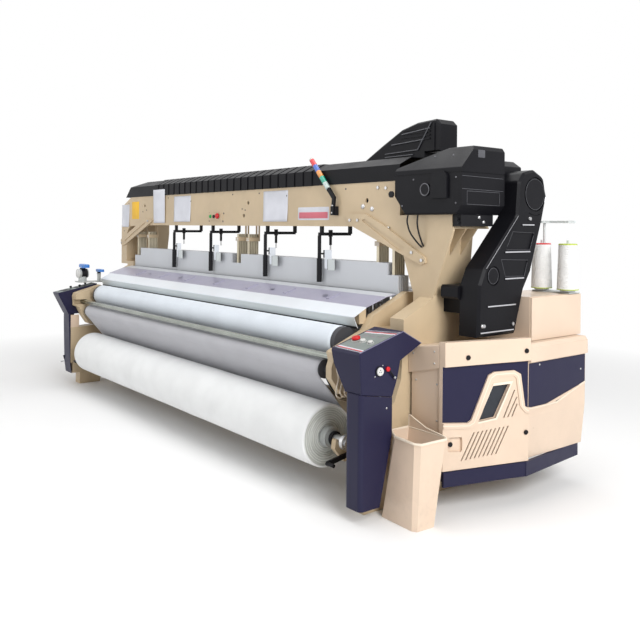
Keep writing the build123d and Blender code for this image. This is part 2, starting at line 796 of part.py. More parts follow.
def beam_end_dome():
    crest = dome_crest_z
    base = cover_back[1] + cover_wall + 2 * seat_gap
    points = [(dome_x[0], base), (dome_x[0], 2016), (1465, 2107), (1656, 2200), (1800, crest - 8),
              (1965, crest), (dome_x[1], crest - 34), (dome_x[1], dobby_z[1] + 6), (beam_step_x, dobby_z[1] + 6),
              (beam_step_x, base)]
    dome = front_slab(outline(points, dome_round, (4, 5)), dome_y)
    dome = chamfer(dome.edges().filter_by(Plane.XZ).filter_by(lambda e: e.center().Z > 2030), 10)
    face = (dome_y[0] - louvre_proud, dome_y[0] + 1)
    for i in range(louvre_count):
        z = louvre_low_z + i * louvre_pitch
        rib = outline([(1640 + 14 * i, z), (1915, z), (1915, z + 11), (1652 + 14 * i, z + 11)])
        dome += front_slab(rib, face)
    return dome + block((1940, 1956), face, (dobby_z[1] + 16, crest - 24))


# Dobby and its drive

def dobby_box():
    """The dobby housing: a front outline and a side outline carried through each other."""
    x0, x1 = dobby_x
    y0, y1 = dobby_y
    z0, z1 = dobby_z
    front = outline([(x0, 1749), (1965, z0), (x1 - 44, z0), (x1, 1690), (x1, 2004), (x1 - 18, z1), (2205, z1),
                     (x0, dobby_lean_z + 20)], 10)
    side = outline([(y0, z0), (y0, dobby_lean_z), (dobby_lean_y, z1), (y1, z1), (y1, z0)], 14, (0, 1, 2))
    box = front_slab(front, (y0, y1)) & side_slab(side, (x0, x1))
    box -= block((x0, dome_x[1] + cover_gap), (dome_y[0] - cover_gap, y1), (z0, z1))
    rear = outline([(dobby_rear_x[0], dobby_rear_z[0]), (dobby_rear_x[1], dobby_rear_z[0]),
                    (dobby_rear_x[1], dobby_rear_z[1] - 40), (dobby_rear_x[1] - 60, dobby_rear_z[1]),
                    (dobby_rear_x[0], dobby_rear_z[1])], 12)
    box += front_slab(rear, (y1 - 20, dobby_rear_y))
    seam = block((x0, x1), (y0, y0 + seam_deep), (seam_z, seam_z + seam_high))
    seam += block((x1 - seam_deep, x1), (y0, y1), (seam_z, seam_z + seam_high))
    box -= seam
    bump = outline([(boss_x[0], boss_z[0]), (boss_x[1], boss_z[0]), (boss_x[1], boss_z[1]),
                    (boss_x[0], boss_z[1])], 40, (2, 3))
    box += front_slab(bump, (y0 - boss_proud, y0))
    return box + bar_y((y0 - 8, y0), disc_centre, disc_radius)


def dobby_mount_block():
    mount = block((beam_x + seat_gap, dobby_x[1] - 50), block_y, block_z)
    for x, z in ((2330, 1612), (2336, 1590)):
        mount += bar_y((block_y[0] - 16, block_y[0]), (x, z), 9)
    return mount


def case_outline():
    """The drive case seen from the side, in Y and Z."""
    hy, hz = case_head
    r = case_head_radius
    return [
        (920, case_foot_z), (1000, 1198), (1068, 1300), (1178, 1607), (hy + r, hz - 20), (hy + 105, hz + 96),
        (hy + 10, hz + r), (hy - 90, hz + 116), (hy - 138, hz + 60), (930, 1631), (640, 1331), (596, 1240),
        (582, case_foot_z),
    ]


def drive_case():
    case = side_slab(outline(case_outline(), 40, (3, 4, 5, 6, 7, 8, 9, 10)), case_x)
    outer = case.faces().sort_by(Axis.X)[-1]
    case = chamfer(outer.edges(), case_round)
    x1 = case_x[1]
    ring = bar_x((x1 - face_cut, x1), disc_hub, disc_hub_radius)
    ring -= bar_x((x1 - face_cut, x1), disc_hub, disc_hub_radius - 12)
    case -= ring
    ring = bar_x((x1 - face_cut, x1), low_disc, low_disc_radius)
    ring -= bar_x((x1 - face_cut, x1), low_disc, low_disc_radius - 12)
    case -= ring
    window = outline([(890, 1540), (1096, 1533), (1053, 1432), (828, 1436)], 12)
    case -= side_slab(window, (x1 - face_cut, x1))
    panel = outline([(785, 1380), (1034, 1372), (1000, 1278), (822, 1282)], 10)
    case -= side_slab(panel, (x1 - face_cut / 2, x1))
    bars = ((975, 1092, 1581), (816, 1053, 1422), (816, 994, 1268), (663, 918, 1116), (600, 899, 971))
    for y0, y1, z in bars:
        case += block((x1, x1 + 4), (y0, y1), (z - 6, z + 6))
    lug = block((leg_outer_x, case_x[0]), lug_y, lug_z)
    lug += chamfer(block((arm_bracket_x, case_x[0]), arm_bracket_y, arm_bracket_z).edges().filter_by(Axis.X), 12)
    groove = Pos(*disc_hub) * (Circle(disc_hub_radius + 26) - Circle(disc_hub_radius + 20))
    lower = outline([(disc_hub[0] - 60, 1500), (disc_hub[0] + 60, 1500), (disc_hub[0] + 44, disc_hub[1] - 90),
                     (disc_hub[0] - 60, disc_hub[1] - 90)])
    case -= side_slab(groove & lower, (x1 - face_cut / 2, x1))
    return case + lug


def dobby_cables():
    """Two cables from the dobby's underside to the upright's front."""
    routes = (
        ((1972, 514, 1634), (1974, 503, 1597), (1996, 505, 1530), (2040, 524, 1472), (2058, 545.4, 1442)),
        ((2052, 516, 1634), (2058, 504, 1590), (2062, 510, 1540), (2068, 526, 1490), (2072, 545.2, 1448)),
    )
    cables = []
    for route in routes:
        points = [Vector(*p) for p in route]
        radii = []
        for a, b, c in zip(points, points[1:], points[2:]):
            turn = radians((b - a).get_angle(c - b))
            radii.append(0.45 * min((b - a).length, (c - b).length) / tan(turn / 2))
        print("cable radii", [round(r) for r in radii])
        line = FilletPolyline(*points, radius=radii)
        profile = Plane(origin=points[0], z_dir=points[1] - points[0]) * Circle(5)
        cables.append(sweep(profile, path=line))
    return cables


# Signal lamp, hangers and harness

def signal_lamp_pole():
    y = (lamp_y - pole_radius, lamp_y + pole_radius)
    points = [(1236, 1640), (1262, 1640), (1276, 1762), (1212, 1832), (1192, 1812), (1250, 1752)]
    pole = front_slab(outline(points, 6), y)
    foot = block((1224, 1276), (lamp_y, beam_y[0]), (1640, 1700))
    return pole + foot


def signal_lamp_lenses():
    """Five lenses and a cap, one on another along the leaning axis."""
    run = hypot(lamp_head[0] - lamp_foot[0], lamp_head[1] - lamp_foot[1])
    axis = Plane(origin=(lamp_foot[0], lamp_y, lamp_foot[1]),
                 z_dir=(lamp_head[0] - lamp_foot[0], 0, lamp_head[1] - lamp_foot[1]))
    cap = 14
    long = (run - cap) / lens_count
    lenses = []
    for i in range(lens_count):
        lens = extrude(axis.offset(i * long) * Circle(lamp_radius), amount=long)
        lenses.append(lens)
    lenses.append(extrude(axis.offset(lens_count * long) * Circle(lamp_radius), amount=cap))
    return lenses


def hanger_bar_piece(x):
    """A bar along Y with a hook up to the beam at each end."""
    half = hanger_bar / 2
    y0, y1 = hanger_y
    bar = block((x - half, x + half), (y0, y1), (hanger_z - half, hanger_z + half))
    for y in (y0 + 14, y1 - half):
        bar += block((x - half, x + half), (y, y + hanger_bar), (hanger_z, beam_z[0]))
    bar += bar_z((hanger_z - half - 8, hanger_z + half + 18), (x, post_y), 15)
    return bar


def hanger_rod_pieces(x):
    """The front rod with its thicker sleeve, and the short rear post."""
    under = hanger_z - hanger_bar / 2
    rod = bar_z((sleeve_z[1], under), (x, rod_front_y), rod_thin_radius)
    rod += bar_z(sleeve_z, (x, rod_front_y), rod_sleeve_radius)
    rod += block((x, x + 50), (rod_front_y - 3, rod_front_y + 3), (1368, 1380))
    rod += block((x + 46, x + 127), (rod_front_y - 2, rod_front_y + 2), (1346, 1399))
    rod += block((x + 100, x + 112), (rod_front_y - 2, rod_front_y + 2), (1330, 1350))
    rod += block((x + 98, x + 172), (rod_front_y - 7, rod_front_y + 2), (1265, 1336))
    post = bar_z((post_z, under - 8), (x, post_y), 10)
    return rod, post


def harness_guides():
    """Combs under the beam that guide the lifting bars."""
    guides = []
    y = (frame_first_y - 6, frame_first_y + frame_count * frame_pitch)
    for x in deep_bar_x + short_bar_x:
        half = lift_bar_wide / 2 + 12
        comb = block((x - half, x + half), y, (1440, 1470))
        for i in range(frame_count):
            centre = frame_first_y + i * frame_pitch + frame_thick / 2
            reach = lift_bar_thick / 2 + slide_gap
            comb -= block((x - lift_bar_wide / 2 - slide_gap, x + lift_bar_wide / 2 + slide_gap),
                          (centre - reach, centre + reach), (1440, 1470))
        for side in (-1, 1):
            edge = x + side * (half - 4)
            under = beam_z[0] - (top_flange if abs(x) > 1760 else 0)
            comb += block((edge - 4, edge + 4), (y[1] - 12, y[1]), (1470, under))
        guides.append(comb)
    return guides


# Consoles

def joint_z(y):
    """The height of the sloping joint between the console's column and head, at a Y."""
    slope = (joint_back_z - joint_front_z) / (console_back_y - console_front_y)
    return joint_front_z + (y - console_front_y) * slope


def head_side():
    """The console head seen from the side, in Y and Z."""
    y0, y1 = console_front_y + 6, console_back_y + 3
    return outline([(y0, joint_z(y0)), (y1, joint_z(y1)),
                    (155, leg_height + 182), (176, leg_height + 275), head_tip, panel_back, panel_front,
                    (panel_front[0] - 4, panel_front[1] - 12)])


def console_head_right():
    x0, x1 = console_x
    high = panel_back[1] + 10
    front = outline([(x0 - 8, joint_back_z - 10), (x1, joint_back_z - 10), (x1, high), (head_left_x, high),
                     (head_left_x + 2, leg_height + 334), (head_left_x + 17, leg_height + 264),
                     (x0 - 12, leg_height + 130)])
    reach = (panel_front[0] - 10, head_tip[0] + 10)
    head = side_slab(head_side(), (head_left_x, x1)) & front_slab(front, reach)
    head = chamfer(head.edges().group_by(Axis.X)[-1], 5)
    casting = (slope_foot[0] - 20, reach[1])
    head -= block((head_left_x, leg_outer_x + cover_gap), casting, (joint_back_z, high))
    head -= panel_bores()
    return head + bar_x((x1 - 1, x1 + 8), socket_place, socket_radius)


def console_head_left():
    """The left head leans further to the front than the right one."""
    x0, x1 = left_console_x[0], left_console_x[1] - 12
    z = left_joint_z
    reach = front_reach
    side = outline([(left_column_y, z), (150, z), (178, 760), (186, 978), (reach, 900), (reach + 4, 880)])
    front = outline([(x0, z), (x1, z), (x1, 985), (x0 - 8, 985)])
    return side_slab(side, (x0 - 10, x1)) & front_slab(front, (reach, 200))


def console_column_right():
    """A shell in front of the right leg and along its outer side, open at the back, on two brackets."""
    x0, x1 = console_x
    y0, y1 = console_front_y, console_back_y
    top = (joint_front_z - seat_gap, joint_back_z - seat_gap)
    foot = console_foot_z
    side = outline([(y0, top[0]), (y1, top[1]), (y1, 440), (66, 240), (26, foot), (y0, foot)])
    plan = outline([(x0, y0), (x1, y0), (x1, y1), (x0, y1)], 24, (0, 1))
    column = side_slab(side, (x0, x1)) & plan_slab(plan, (foot, top[0]))
    inside = outline([(x0 + console_shell, y0 + console_shell), (x1 - console_shell, y0 + console_shell),
                      (x1 - console_shell, y1 + 1), (x0 + console_shell, y1 + 1)], 20, (0, 1))
    column -= plan_slab(inside, (foot - 1, top[0] + 1))
    column -= block((x0 - 1, leg_outer_x + cover_gap), (leg_front_y - cover_gap, y1 + 1), (foot - 1, top[0] + 1))
    for z in (280, 500):
        column += block((leg_outer_x + seat_gap, x1 - 1), (30, 62), (z, z + 40))
    return column


def console_column_left():
    x0, x1 = left_console_x
    front = left_column_y
    back = front + 110
    knee = left_column_knee_z
    top = left_joint_z - seat_gap
    wall = left_column_wall
    side = outline([(front, top), (back, top), (back - 10, knee), (front + 30, 110), (front + 16, knee)])
    plan = outline([(x0, front), (x1, front), (x1, back), (x0, back)], 20, (0,))
    column = side_slab(side, (x0, x1)) & plan_slab(plan, (110, top))
    hollow = block((x0 + console_shell, x1 + 1), (front + wall, back + 1), (100, top + 1))
    lean = outline([(front + wall, top + 1), (back + 1, top + 1), (back + 1, 109), (front + wall + 14, 109),
                    (front + wall, knee)])
    return column - (hollow & side_slab(lean, (x0, x1 + 1)))


def panel_plane(x, y):
    """A frame on the right console's sloping top, its normal out of the panel."""
    slope = (panel_back[1] - panel_front[1]) / (panel_back[0] - panel_front[0])
    return Plane(origin=(x, y, panel_front[1] + (y - panel_front[0]) * slope), x_dir=(1, 0, 0), z_dir=(0, -slope, 1))


def panel_bores():
    """Blind bores for the three stems, deep enough for their travel."""
    bores = []
    for x, y in (stop_place, start_place, jog_place):
        plane = panel_plane(x, y)
        deep = stem_deep + button_travel + 1
        bores.append(extrude(plane * Circle(stem_radius + run_gap), amount=-deep))
    return bores


def console_button(place, radius, high):
    """A push button: its cap stands off the panel by its travel."""
    plane = panel_plane(*place)
    lift = button_travel + slide_gap
    stem = extrude(plane.offset(-stem_deep) * Circle(stem_radius), amount=stem_deep + lift + high)
    cap = extrude(plane.offset(lift) * Circle(radius), amount=high)
    button = stem + cap
    return fillet(button.edges().filter_by(GeomType.CIRCLE).sort_by(Axis.Z)[-1], high / 3)


# Waste bin and the covers of the drive end

def waste_bin():
    """An open bin that widens to its rim, with a folded edge and a raised back. One corner clears the console."""
    def level(points, z):
        return Plane.XY.offset(z) * outline(list(points))

    def shrunk(points, wall):
        centre = (sum(p[0] for p in points) / len(points), sum(p[1] for p in points) / len(points))
        return [tuple(v + (c - v) * wall / hypot(p[0] - centre[0], p[1] - centre[1]) for v, c in zip(p, centre))
                for p in points]

    body = loft([level(bin_foot, 0), level(bin_rim, bin_height)])
    fold = plan_slab(outline(shrunk(bin_rim, -bin_fold[0])), (bin_height - bin_fold[1], bin_height))
    deep = bin_wall * 1.4
    hollow = loft([level(shrunk(bin_foot, deep), bin_wall), level(shrunk(bin_rim, deep), bin_height + 0.01)])
    left, right, y = bin_rim[5][0], bin_rim[4][0], bin_rim[5][1]
    back = outline([(left, bin_height - 30), (right, bin_height - 30), (right, bin_height),
                    (left + 137, bin_back_z), (left + 12, bin_hump_z), (left, bin_hump_z)])
    return body + fold - hollow + front_slab(back, (y - bin_wall, y))


def door_plane():
    """A frame on the door's outer face: X along it from its front edge, Y up, normal outwards."""
    run = Vector(door_rear_edge[0] - door_front_edge[0], door_rear_edge[1] - door_front_edge[1], 0)
    return Plane(origin=(door_front_edge[0], door_front_edge[1], 0), x_dir=run, z_dir=run.cross(Vector(0, 0, 1)))


def on_door(points, deep, proud, rounding=0.0, corners=None):
    """A shape given along the door and up, from a depth behind the outer face to a height before it."""
    shape = outline(points, rounding, corners)
    return extrude(door_plane().offset(-deep) * shape, amount=deep + proud)


def door_front():
    """The hinged door: ledge, ridge round the apron, window, slots, grip and four lock knobs."""
    wide = hypot(door_rear_edge[0] - door_front_edge[0], door_rear_edge[1] - door_front_edge[1])
    low, high = door_z
    room = block((door_front_edge[0] - 60, half_width - 1), (door_front_edge[1], door_rear_edge[1]), (low, high))
    reach = (-20, wide + 20)
    door = on_door([(reach[0], low), (reach[1], low), (reach[1], high), (reach[0], high)], door_wall, 0)
    ledge = on_door([(reach[0], ledge_z), (reach[1], ledge_z + 6), (reach[1], high), (reach[0], high)], 0, ledge_proud)
    ledge = chamfer(ledge.edges().group_by(Axis.Z)[-1].sort_by(Axis.X)[-1], 12)
    apron = [(reach[0], low), (reach[1], low), (reach[1], 530), (560, 538), (538, 550), (508, 735), (465, 758),
             (327, 757), (291, 740), (180, 501), (157, 488), (reach[0], 500)]
    inner = [(reach[0], low - 1), (reach[1], low - 1), (reach[1], 502), (566, 505), (538, 515), (504, 553),
             (477, 712), (459, 728), (356, 727), (327, 712), (221, 473), (180, 456), (reach[0], 469)]
    door += ledge
    door += on_door(apron, 0, apron_proud)
    door += on_door(apron, 0, apron_proud + ridge_proud) - on_door(inner, 1, apron_proud + ridge_proud + 1)
    frame = [(326, 696), (456, 700), (348, 488), (212, 475)]
    door += on_door(frame, 0, apron_proud + 3)
    cuts = [[(322, 680), (440, 684), (341, 499), (224, 487)]]
    for top, foot in (((465, 647), (392, 494)), ((481, 606), (419, 495)), ((483, 567), (448, 497))):
        cuts.append([top, (top[0] + 9, top[1]), (foot[0] + 9, foot[1]), foot])
    for i in range(9):
        s = 198 + i * 28.1
        z = 432 + i * 1.9
        cuts.append([(s, z), (s + 9, z), (s - 74, z - 150), (s - 83, z - 150)])
    for cut in cuts:
        door -= on_door(cut, slot_deep, ledge_proud)
    door -= on_door([(34, 419), (126, 413), (126, 331), (34, 341)], slot_deep, ledge_proud, 12)
    door = door & room
    for place, proud in (((51, 379), 0), ((547, 400), apron_proud), ((150, 850), ledge_proud), ((538, 866), ledge_proud)):
        knob = door_plane() * Pos(*place) * Circle(knob_radius)
        door += extrude(knob, amount=-slot_deep - 1) + extrude(knob, amount=proud + knob_high)
    return door


def skirt_right():
    """The low skirt of the drive end, hung on two ties from the leg."""
    z = skirt_z
    front = plan_slab(outline([(2420, 350), (2572, 866), (2572 - skirt_wall, 870), (2420 - skirt_wall, 352)]), z)
    rear = plan_slab(outline([(2560, 862), (2577, 868), (2524, 1466), (2507, 1466)]), z)
    y = (front_plate_y[1] + 10, front_plate_y[1] + 40)
    tie = block((leg_outer_x, 2420), y, (z[0] + 20, z[1]))
    tie_rear = block((leg_outer_x, 2520), (1340, 1380), (z[0] + 20, z[1]))
    return front + rear + tie + tie_rear


def rear_cover_right():
    """A cover with a ledge like the door's, a lower edge that leans in, and a closed rear end."""
    low, high = rear_cover_x
    y, top = rear_cover_y, rear_cover_top
    foot = skirt_z[1] + 4
    wall = door_wall / 2
    side = outline([(low, foot), (2570, 480), (2572, 790), (high, 796), (high - 2, top - 22), (high - 20, top),
                    (leg_outer_x, top), (leg_outer_x, top - sheet), (2560, top - sheet), (2572 - wall, 780),
                    (2570 - wall, 480), (low - wall, foot)])
    cover = front_slab(side, y)
    back = outline([(leg_outer_x, foot), (low, foot), (2570, 480), (2572, top), (leg_outer_x, top)])
    cover += front_slab(back, (y[1] - sheet, y[1]))
    ridge = outline([(y[0], 505), (y[0] + 170, 520), (y[1] - 70, 596), (y[1] - 66, 606), (y[0] + 168, 536),
                     (y[0], 536)])
    return cover + side_slab(ridge, (2569, 2572 + ridge_proud))


def front_covers_right():
    """The flat plate behind the waste bin and the corner cover between console and door."""
    x0, x1 = front_plate_x
    plate = block(front_plate_x, front_plate_y, (skirt_z[0], front_plate_top))
    plate += block((x1 - sheet, x1), (front_plate_y[0], front_plate_y[1] + 80), (skirt_z[1] + 10, front_plate_top))
    tab = block((leg_outer_x, x0 + 30), (front_plate_y[1], front_plate_y[1] + 4), (300, 340))
    left = leg_outer_x + cover_gap
    face = outline([(left, 736), (x1, 795), (x1, 921), (2277, 904), (left, 884)])
    corner = front_slab(face, (corner_face_y, front_plate_y[0] - seat_gap))
    top = outline([(left, 878), (x1, 915), (x1, 921), (2277, 904), (left, 884)])
    corner += front_slab(top, (corner_face_y, corner_back_y))
    corner = chamfer(corner.edges().group_by(Axis.Y)[0].group_by(Axis.Z)[-1], 5)
    return plate + tab, corner


def control_cabinet():
    x0, x1 = cabinet_x
    y0, y1 = cabinet_y
    z0, z1 = cabinet_z
    w = cabinet_wall
    box = block((x0, x1 - cabinet_door_wall - slide_gap), cabinet_y, cabinet_z)
    box -= block((x0 + w, x1), (y0 + w, y1 - w), (z0 + w, z1 - w))
    return box


def cabinet_door():
    x1 = cabinet_x[1]
    y = (cabinet_y[0] + 2, cabinet_y[1] - 2)
    z = (cabinet_z[0] + 3, cabinet_z[1] - 3)
    door = block((x1 - cabinet_door_wall, x1), y, z)
    door = fillet(door.edges().filter_by(Axis.Z).sort_by(Axis.X)[-2:], 5)
    return door


def yarn_stand():
    """A foot plate on the cabinet with a post, two cone pins and a guide arm above."""
    top = cabinet_z[1]
    post_x, post_y = stand_post
    stand = block((post_x - 20, cabinet_x[1] - 6), (cone_centres[0][1] - 22, post_y + 14), (top, top + 8))
    for x, y in cone_centres:
        stand += bar_z((top, cone_z[1] + 26), (x, y), 8)
        stand += bar_z((cone_z[0] - 10, cone_z[0]), (x, y), 45)
    stand += bar_z((top, stand_top_z), stand_post, 9)
    stand += block(stand_arm_x, (post_y - 8, post_y + 8), (stand_top_z - 14, stand_top_z))
    for x, _ in cone_centres:
        stand += block((x - 5, x + 5), (cone_centres[0][1] - 6, post_y), (stand_top_z - 12, stand_top_z - 4))
    return stand


def yarn_cones():
    cones = []
    for x, y in cone_centres:
        profile = outline([(8.5, cone_z[0]), (cone_radius[0], cone_z[0]), (cone_radius[0], cone_z[0] + 20),
                           (cone_radius[1], cone_z[1]), (8.5, cone_z[1])])
        cone = revolve(Plane.XZ * profile, Axis.Z)
        cones.append(Pos(x, y, 0) * cone)
    return cones


# Left end

def end_cover_left():
    low = (door_front_edge[0], rear_cover_x[0] - 10)
    high = (door_front_edge[0] + 20, half_width)
    y = (door_front_edge[1], rear_cover_y[1])
    outer = loft([
        Plane.XY.offset(z) * outline([(leg_outer_x + 52, y[0]), (x[0], y[0]), (x[1], y[1]), (leg_outer_x + 52, y[1])])
        for x, z in ((low, skirt_z[0]), (high, rear_cover_top))])
    inner = loft([
        Plane.XY.offset(z) * outline([(leg_outer_x + 51, y[0] + sheet), (x[0] - sheet, y[0] + sheet),
                                      (x[1] - sheet, y[1] - sheet), (leg_outer_x + 51, y[1] - sheet)])
        for x, z in ((low, skirt_z[0] - 1), (high, rear_cover_top - sheet))])
    shell = outer - inner
    for z in (300, 700):
        shell += block((leg_outer_x, leg_outer_x + 60), (y[0] + 200, y[0] + 240), (z, z + 40))
        shell += block((leg_outer_x + 50, leg_outer_x + 60), (y[0], y[0] + 240), (z, z + 40))
    return flip(shell)


def drive_motor():
    """The main motor on the outer face of the left side frame, its shaft along X, with cooling ribs."""
    centre = (880.0, 420.0)
    body = bar_x((2160, 2400), centre, 110)
    motor = bar_x((leg_outer_x, 2162), centre, 130) + body + bar_x((2400, 2430), centre, 96)
    for i in range(12):
        fin = block((2180, 2390), (centre[0] - 3, centre[0] + 3), (centre[1] + 100, centre[1] + 122))
        motor += Pos(0, centre[0], centre[1]) * Rot(i * 30, 0, 0) * Pos(0, -centre[0], -centre[1]) * fin
    motor += block((2240, 2320), (centre[0] - 50, centre[0] + 50), (centre[1] + 100, centre[1] + 150))
    return flip(motor)


def weft_pump():
    """The weft pump on its bracket above the left console, with its valve fittings."""
    bracket = block((2060, 2196), (12, slope_foot[0]), (990, 1000))
    bracket += block((2060, leg_outer_x), (slope_foot[0] - 10, slope_foot[0]), (972, 1034))
    pump = bracket + bar_z((1000, 1046), (2138, 70), 40) + bar_y((20, 120), (2138, 1078), 44)
    pump += bar_z((1110, 1132), (2138, 70), 16)
    pump += bar_z((1000, 1076), (2090, 220), 17) + bar_z((1000, 1060), (2168, 250), 13)
    pump += bar_z((1060, 1092), (2168, 250), 20)
    pump -= bar_z((1114, 1133), (2138, 70), 8 + run_gap)
    return flip(pump)


def pump_handle():
    handle = bar_z((1114.5, 1150), (2138, 70), 8)
    blade = Pos(2118, 62) * Rot(0, 0, 8) * SlotOverall(112, 34)
    handle += plan_slab(blade, (1134, 1152))
    handle += bar_z((1134, 1168), (2138, 70), 20)
    return flip(handle)


# Warp side

def warp_beam():
    beam = bar_x((-warp_flange_x[1], warp_flange_x[1]), warp_axis, warp_flange_radius)
    beam -= bar_x((-warp_flange_x[0], warp_flange_x[0]), warp_axis, warp_flange_radius + 1)
    beam += bar_x((-warp_flange_x[0] - 1, warp_flange_x[0] + 1), warp_axis, warp_yarn_radius)
    beam += bar_x((-leg_outer_x + 10, leg_outer_x - 10), warp_axis, warp_shaft_radius)
    hole = [Pos(0, warp_axis[0], warp_axis[1]) * Rot(i * 60, 0, 0) * Pos(0, 0, 356)
            * bar_x((-warp_flange_x[1], warp_flange_x[1]), (0, 0), 24) for i in range(6)]
    return beam - hole


def back_rest_roller():
    roller = bar_x((-rest_x, rest_x), rest_axis, rest_radius)
    return roller + bar_x((-leg_outer_x + 30, leg_outer_x - 30), rest_axis, rest_journal_radius)


# Switch box in the beam's face

def beam_switch_box():
    y = (beam_y[0] - box_proud, beam_y[0])
    plate = front_slab(outline([(box_x[0], box_z[0]), (box_x[1], box_z[0]), (box_x[1], box_z[1]),
                                (box_x[0], box_z[1])], 6), y)
    for x in (-445, -385):
        plate += bar_y((y[0] - 7, y[0]), (x, 1646), 13)
    return plate - bar_y(y, stop_knob, stem_radius + run_gap)


def beam_stop_button():
    """A mushroom button whose stem runs in the switch box and the beam."""
    face = beam_y[0] - box_proud
    lift = button_travel + slide_gap
    knob = bar_y((face - lift - 12, face - lift), stop_knob, 24)
    knob = fillet(knob.edges().filter_by(GeomType.CIRCLE).sort_by(Axis.Y)[0], 6)
    return knob + bar_y((face - lift - 1, beam_y[0] + stop_stem_deep), stop_knob, stem_radius)


def cover_bolts():
    """Hexagon bolts on the braces, the drive case and the end covers."""
    bolts = []
    front = ((1414, 1606), (1490, 1606), (1985, 1410), (2068, 1366), (1670, 1814), (1744, 1808), (-1645, 1606),
             (-2268, 1380))
    for x, z in front:
        on_brace = x in (1414, 1490, 1985, 2068, -1645, -2268)
        y = brace_y if on_brace else beam_y[0]
        head = Pos(x, z) * RegularPolygon(bolt_radius, 6)
        bolts.append(front_slab(head, (y - bolt_high, y)))
    for y, z in ((1049, 1618), (630, 1009), (890, 1004)):
        head = Pos(y, z) * RegularPolygon(bolt_radius, 6)
        bolts.append(side_slab(head, (case_x[1], case_x[1] + bolt_high)))
    return bolts


# Write every piece

os.makedirs("parts", exist_ok=True)

set_down("side_frame_left", side_frame_left())
set_down("side_frame_right", side_frame_right())
set_down("cross_beams", *cross_beams())
set_down("upright_left", upright_left())
set_down("upright_right", upright_right())
set_down("overhead_beam", overhead_beam())
set_down("beam_top_cover", beam_top_cover())
set_down("beam_end_dome", beam_end_dome())
set_down("corner_braces", brace_left(), brace_right())
set_down("dobby_box", dobby_box())
set_down("dobby_mount_block", dobby_mount_block())
set_down("drive_case", drive_case())
set_down("dobby_cables", *dobby_cables())
set_down("signal_lamp_pole", signal_lamp_pole())
set_down("signal_lamp_lenses", *signal_lamp_lenses())
set_down("hanger_bars", *[hanger_bar_piece(x) for x in hanger_x])
set_down("hanger_rods", *[rod for x in hanger_x for rod in hanger_rod_pieces(x)])
set_down("harness_guides", *harness_guides())
set_down("breast_cover", breast_cover())
set_down("reed_shield", reed_shield())
set_down("spreader_rod", spreader_rod())
set_down("cloth_web", cloth_web())
set_down("console_head_right", console_head_right())
set_down("console_column_right", console_column_right())
set_down("console_head_left", console_head_left())
set_down("console_column_left", console_column_left())
set_down("waste_bin", waste_bin())
set_down("skirt_right", skirt_right())
set_down("rear_cover_right", rear_cover_right())
set_down("front_covers_right", *front_covers_right())
set_down("control_cabinet", control_cabinet())
set_down("yarn_stand", yarn_stand())
set_down("yarn_cones", *yarn_cones())
set_down("end_cover_left", end_cover_left())
set_down("drive_motor", drive_motor())
set_down("weft_pump", weft_pump())
set_down("beam_switch_box", beam_switch_box())
set_down("cover_bolts", *cover_bolts())

set_down("cloth_roll", cloth_roll())
set_down("cloth_roll_shaft", cloth_roll_shaft())
set_down("take_up_roller", take_up_roller())
set_down("press_roller", press_roller())
set_down("warp_beam", warp_beam())
set_down("back_rest_roller", back_rest_roller())
set_down("sley", sley())
set_down("reed", reed())
for number in range(frame_count):
    set_down("heald_frame_" + str(number + 1), heald_frame(number))
set_down("door_front", door_front())
set_down("cabinet_door", cabinet_door())
set_down("console_stop_button", console_button(stop_place, mushroom_radius, 12))
set_down("console_start_button", console_button(start_place, button_radius, 7))
set_down("console_jog_button", console_button(jog_place, button_radius, 7))
set_down("roll_clamp_levers", roll_clamp_lever(), flip(roll_clamp_lever()))
set_down("beam_stop_button", beam_stop_button())
set_down("pump_handle", pump_handle())
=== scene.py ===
from math import acos, atan2, cos, hypot, pi, radians, sin

import bmesh
import bpy
import numpy as np
from bpy.props import FloatProperty, FloatVectorProperty, PointerProperty
from mathutils import Matrix, Vector


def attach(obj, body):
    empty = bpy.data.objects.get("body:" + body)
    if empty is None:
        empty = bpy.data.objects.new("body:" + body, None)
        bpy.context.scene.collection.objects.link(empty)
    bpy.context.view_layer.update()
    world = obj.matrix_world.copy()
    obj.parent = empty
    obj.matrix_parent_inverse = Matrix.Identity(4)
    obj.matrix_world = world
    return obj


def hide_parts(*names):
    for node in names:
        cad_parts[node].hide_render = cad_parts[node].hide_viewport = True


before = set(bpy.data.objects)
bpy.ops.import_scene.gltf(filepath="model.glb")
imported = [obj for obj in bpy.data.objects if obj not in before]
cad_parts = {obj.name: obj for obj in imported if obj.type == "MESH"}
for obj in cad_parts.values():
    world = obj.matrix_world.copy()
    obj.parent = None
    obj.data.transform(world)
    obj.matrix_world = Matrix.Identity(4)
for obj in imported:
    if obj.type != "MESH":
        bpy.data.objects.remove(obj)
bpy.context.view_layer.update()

bl_info = {
    "name": "Power Loom Finishes",
    "version": (1, 0, 0),
    "blender": (4, 5, 0),
    "location": "3D View > Sidebar > Loom",
    "description": "Finishes and fine pieces of a wide loom with an overhead dobby",
    "category": "Object",
}

# The machine's own millimetres count Y from the front of its feet; the part's origin lies this far behind.
FEET_TO_ORIGIN = 781.5
DONE = {"FINISHED"}
EAST, BACK, RISE, FRONT = (1, 0, 0), (0, 1, 0), (0, 0, 1), (0, -1, 0)

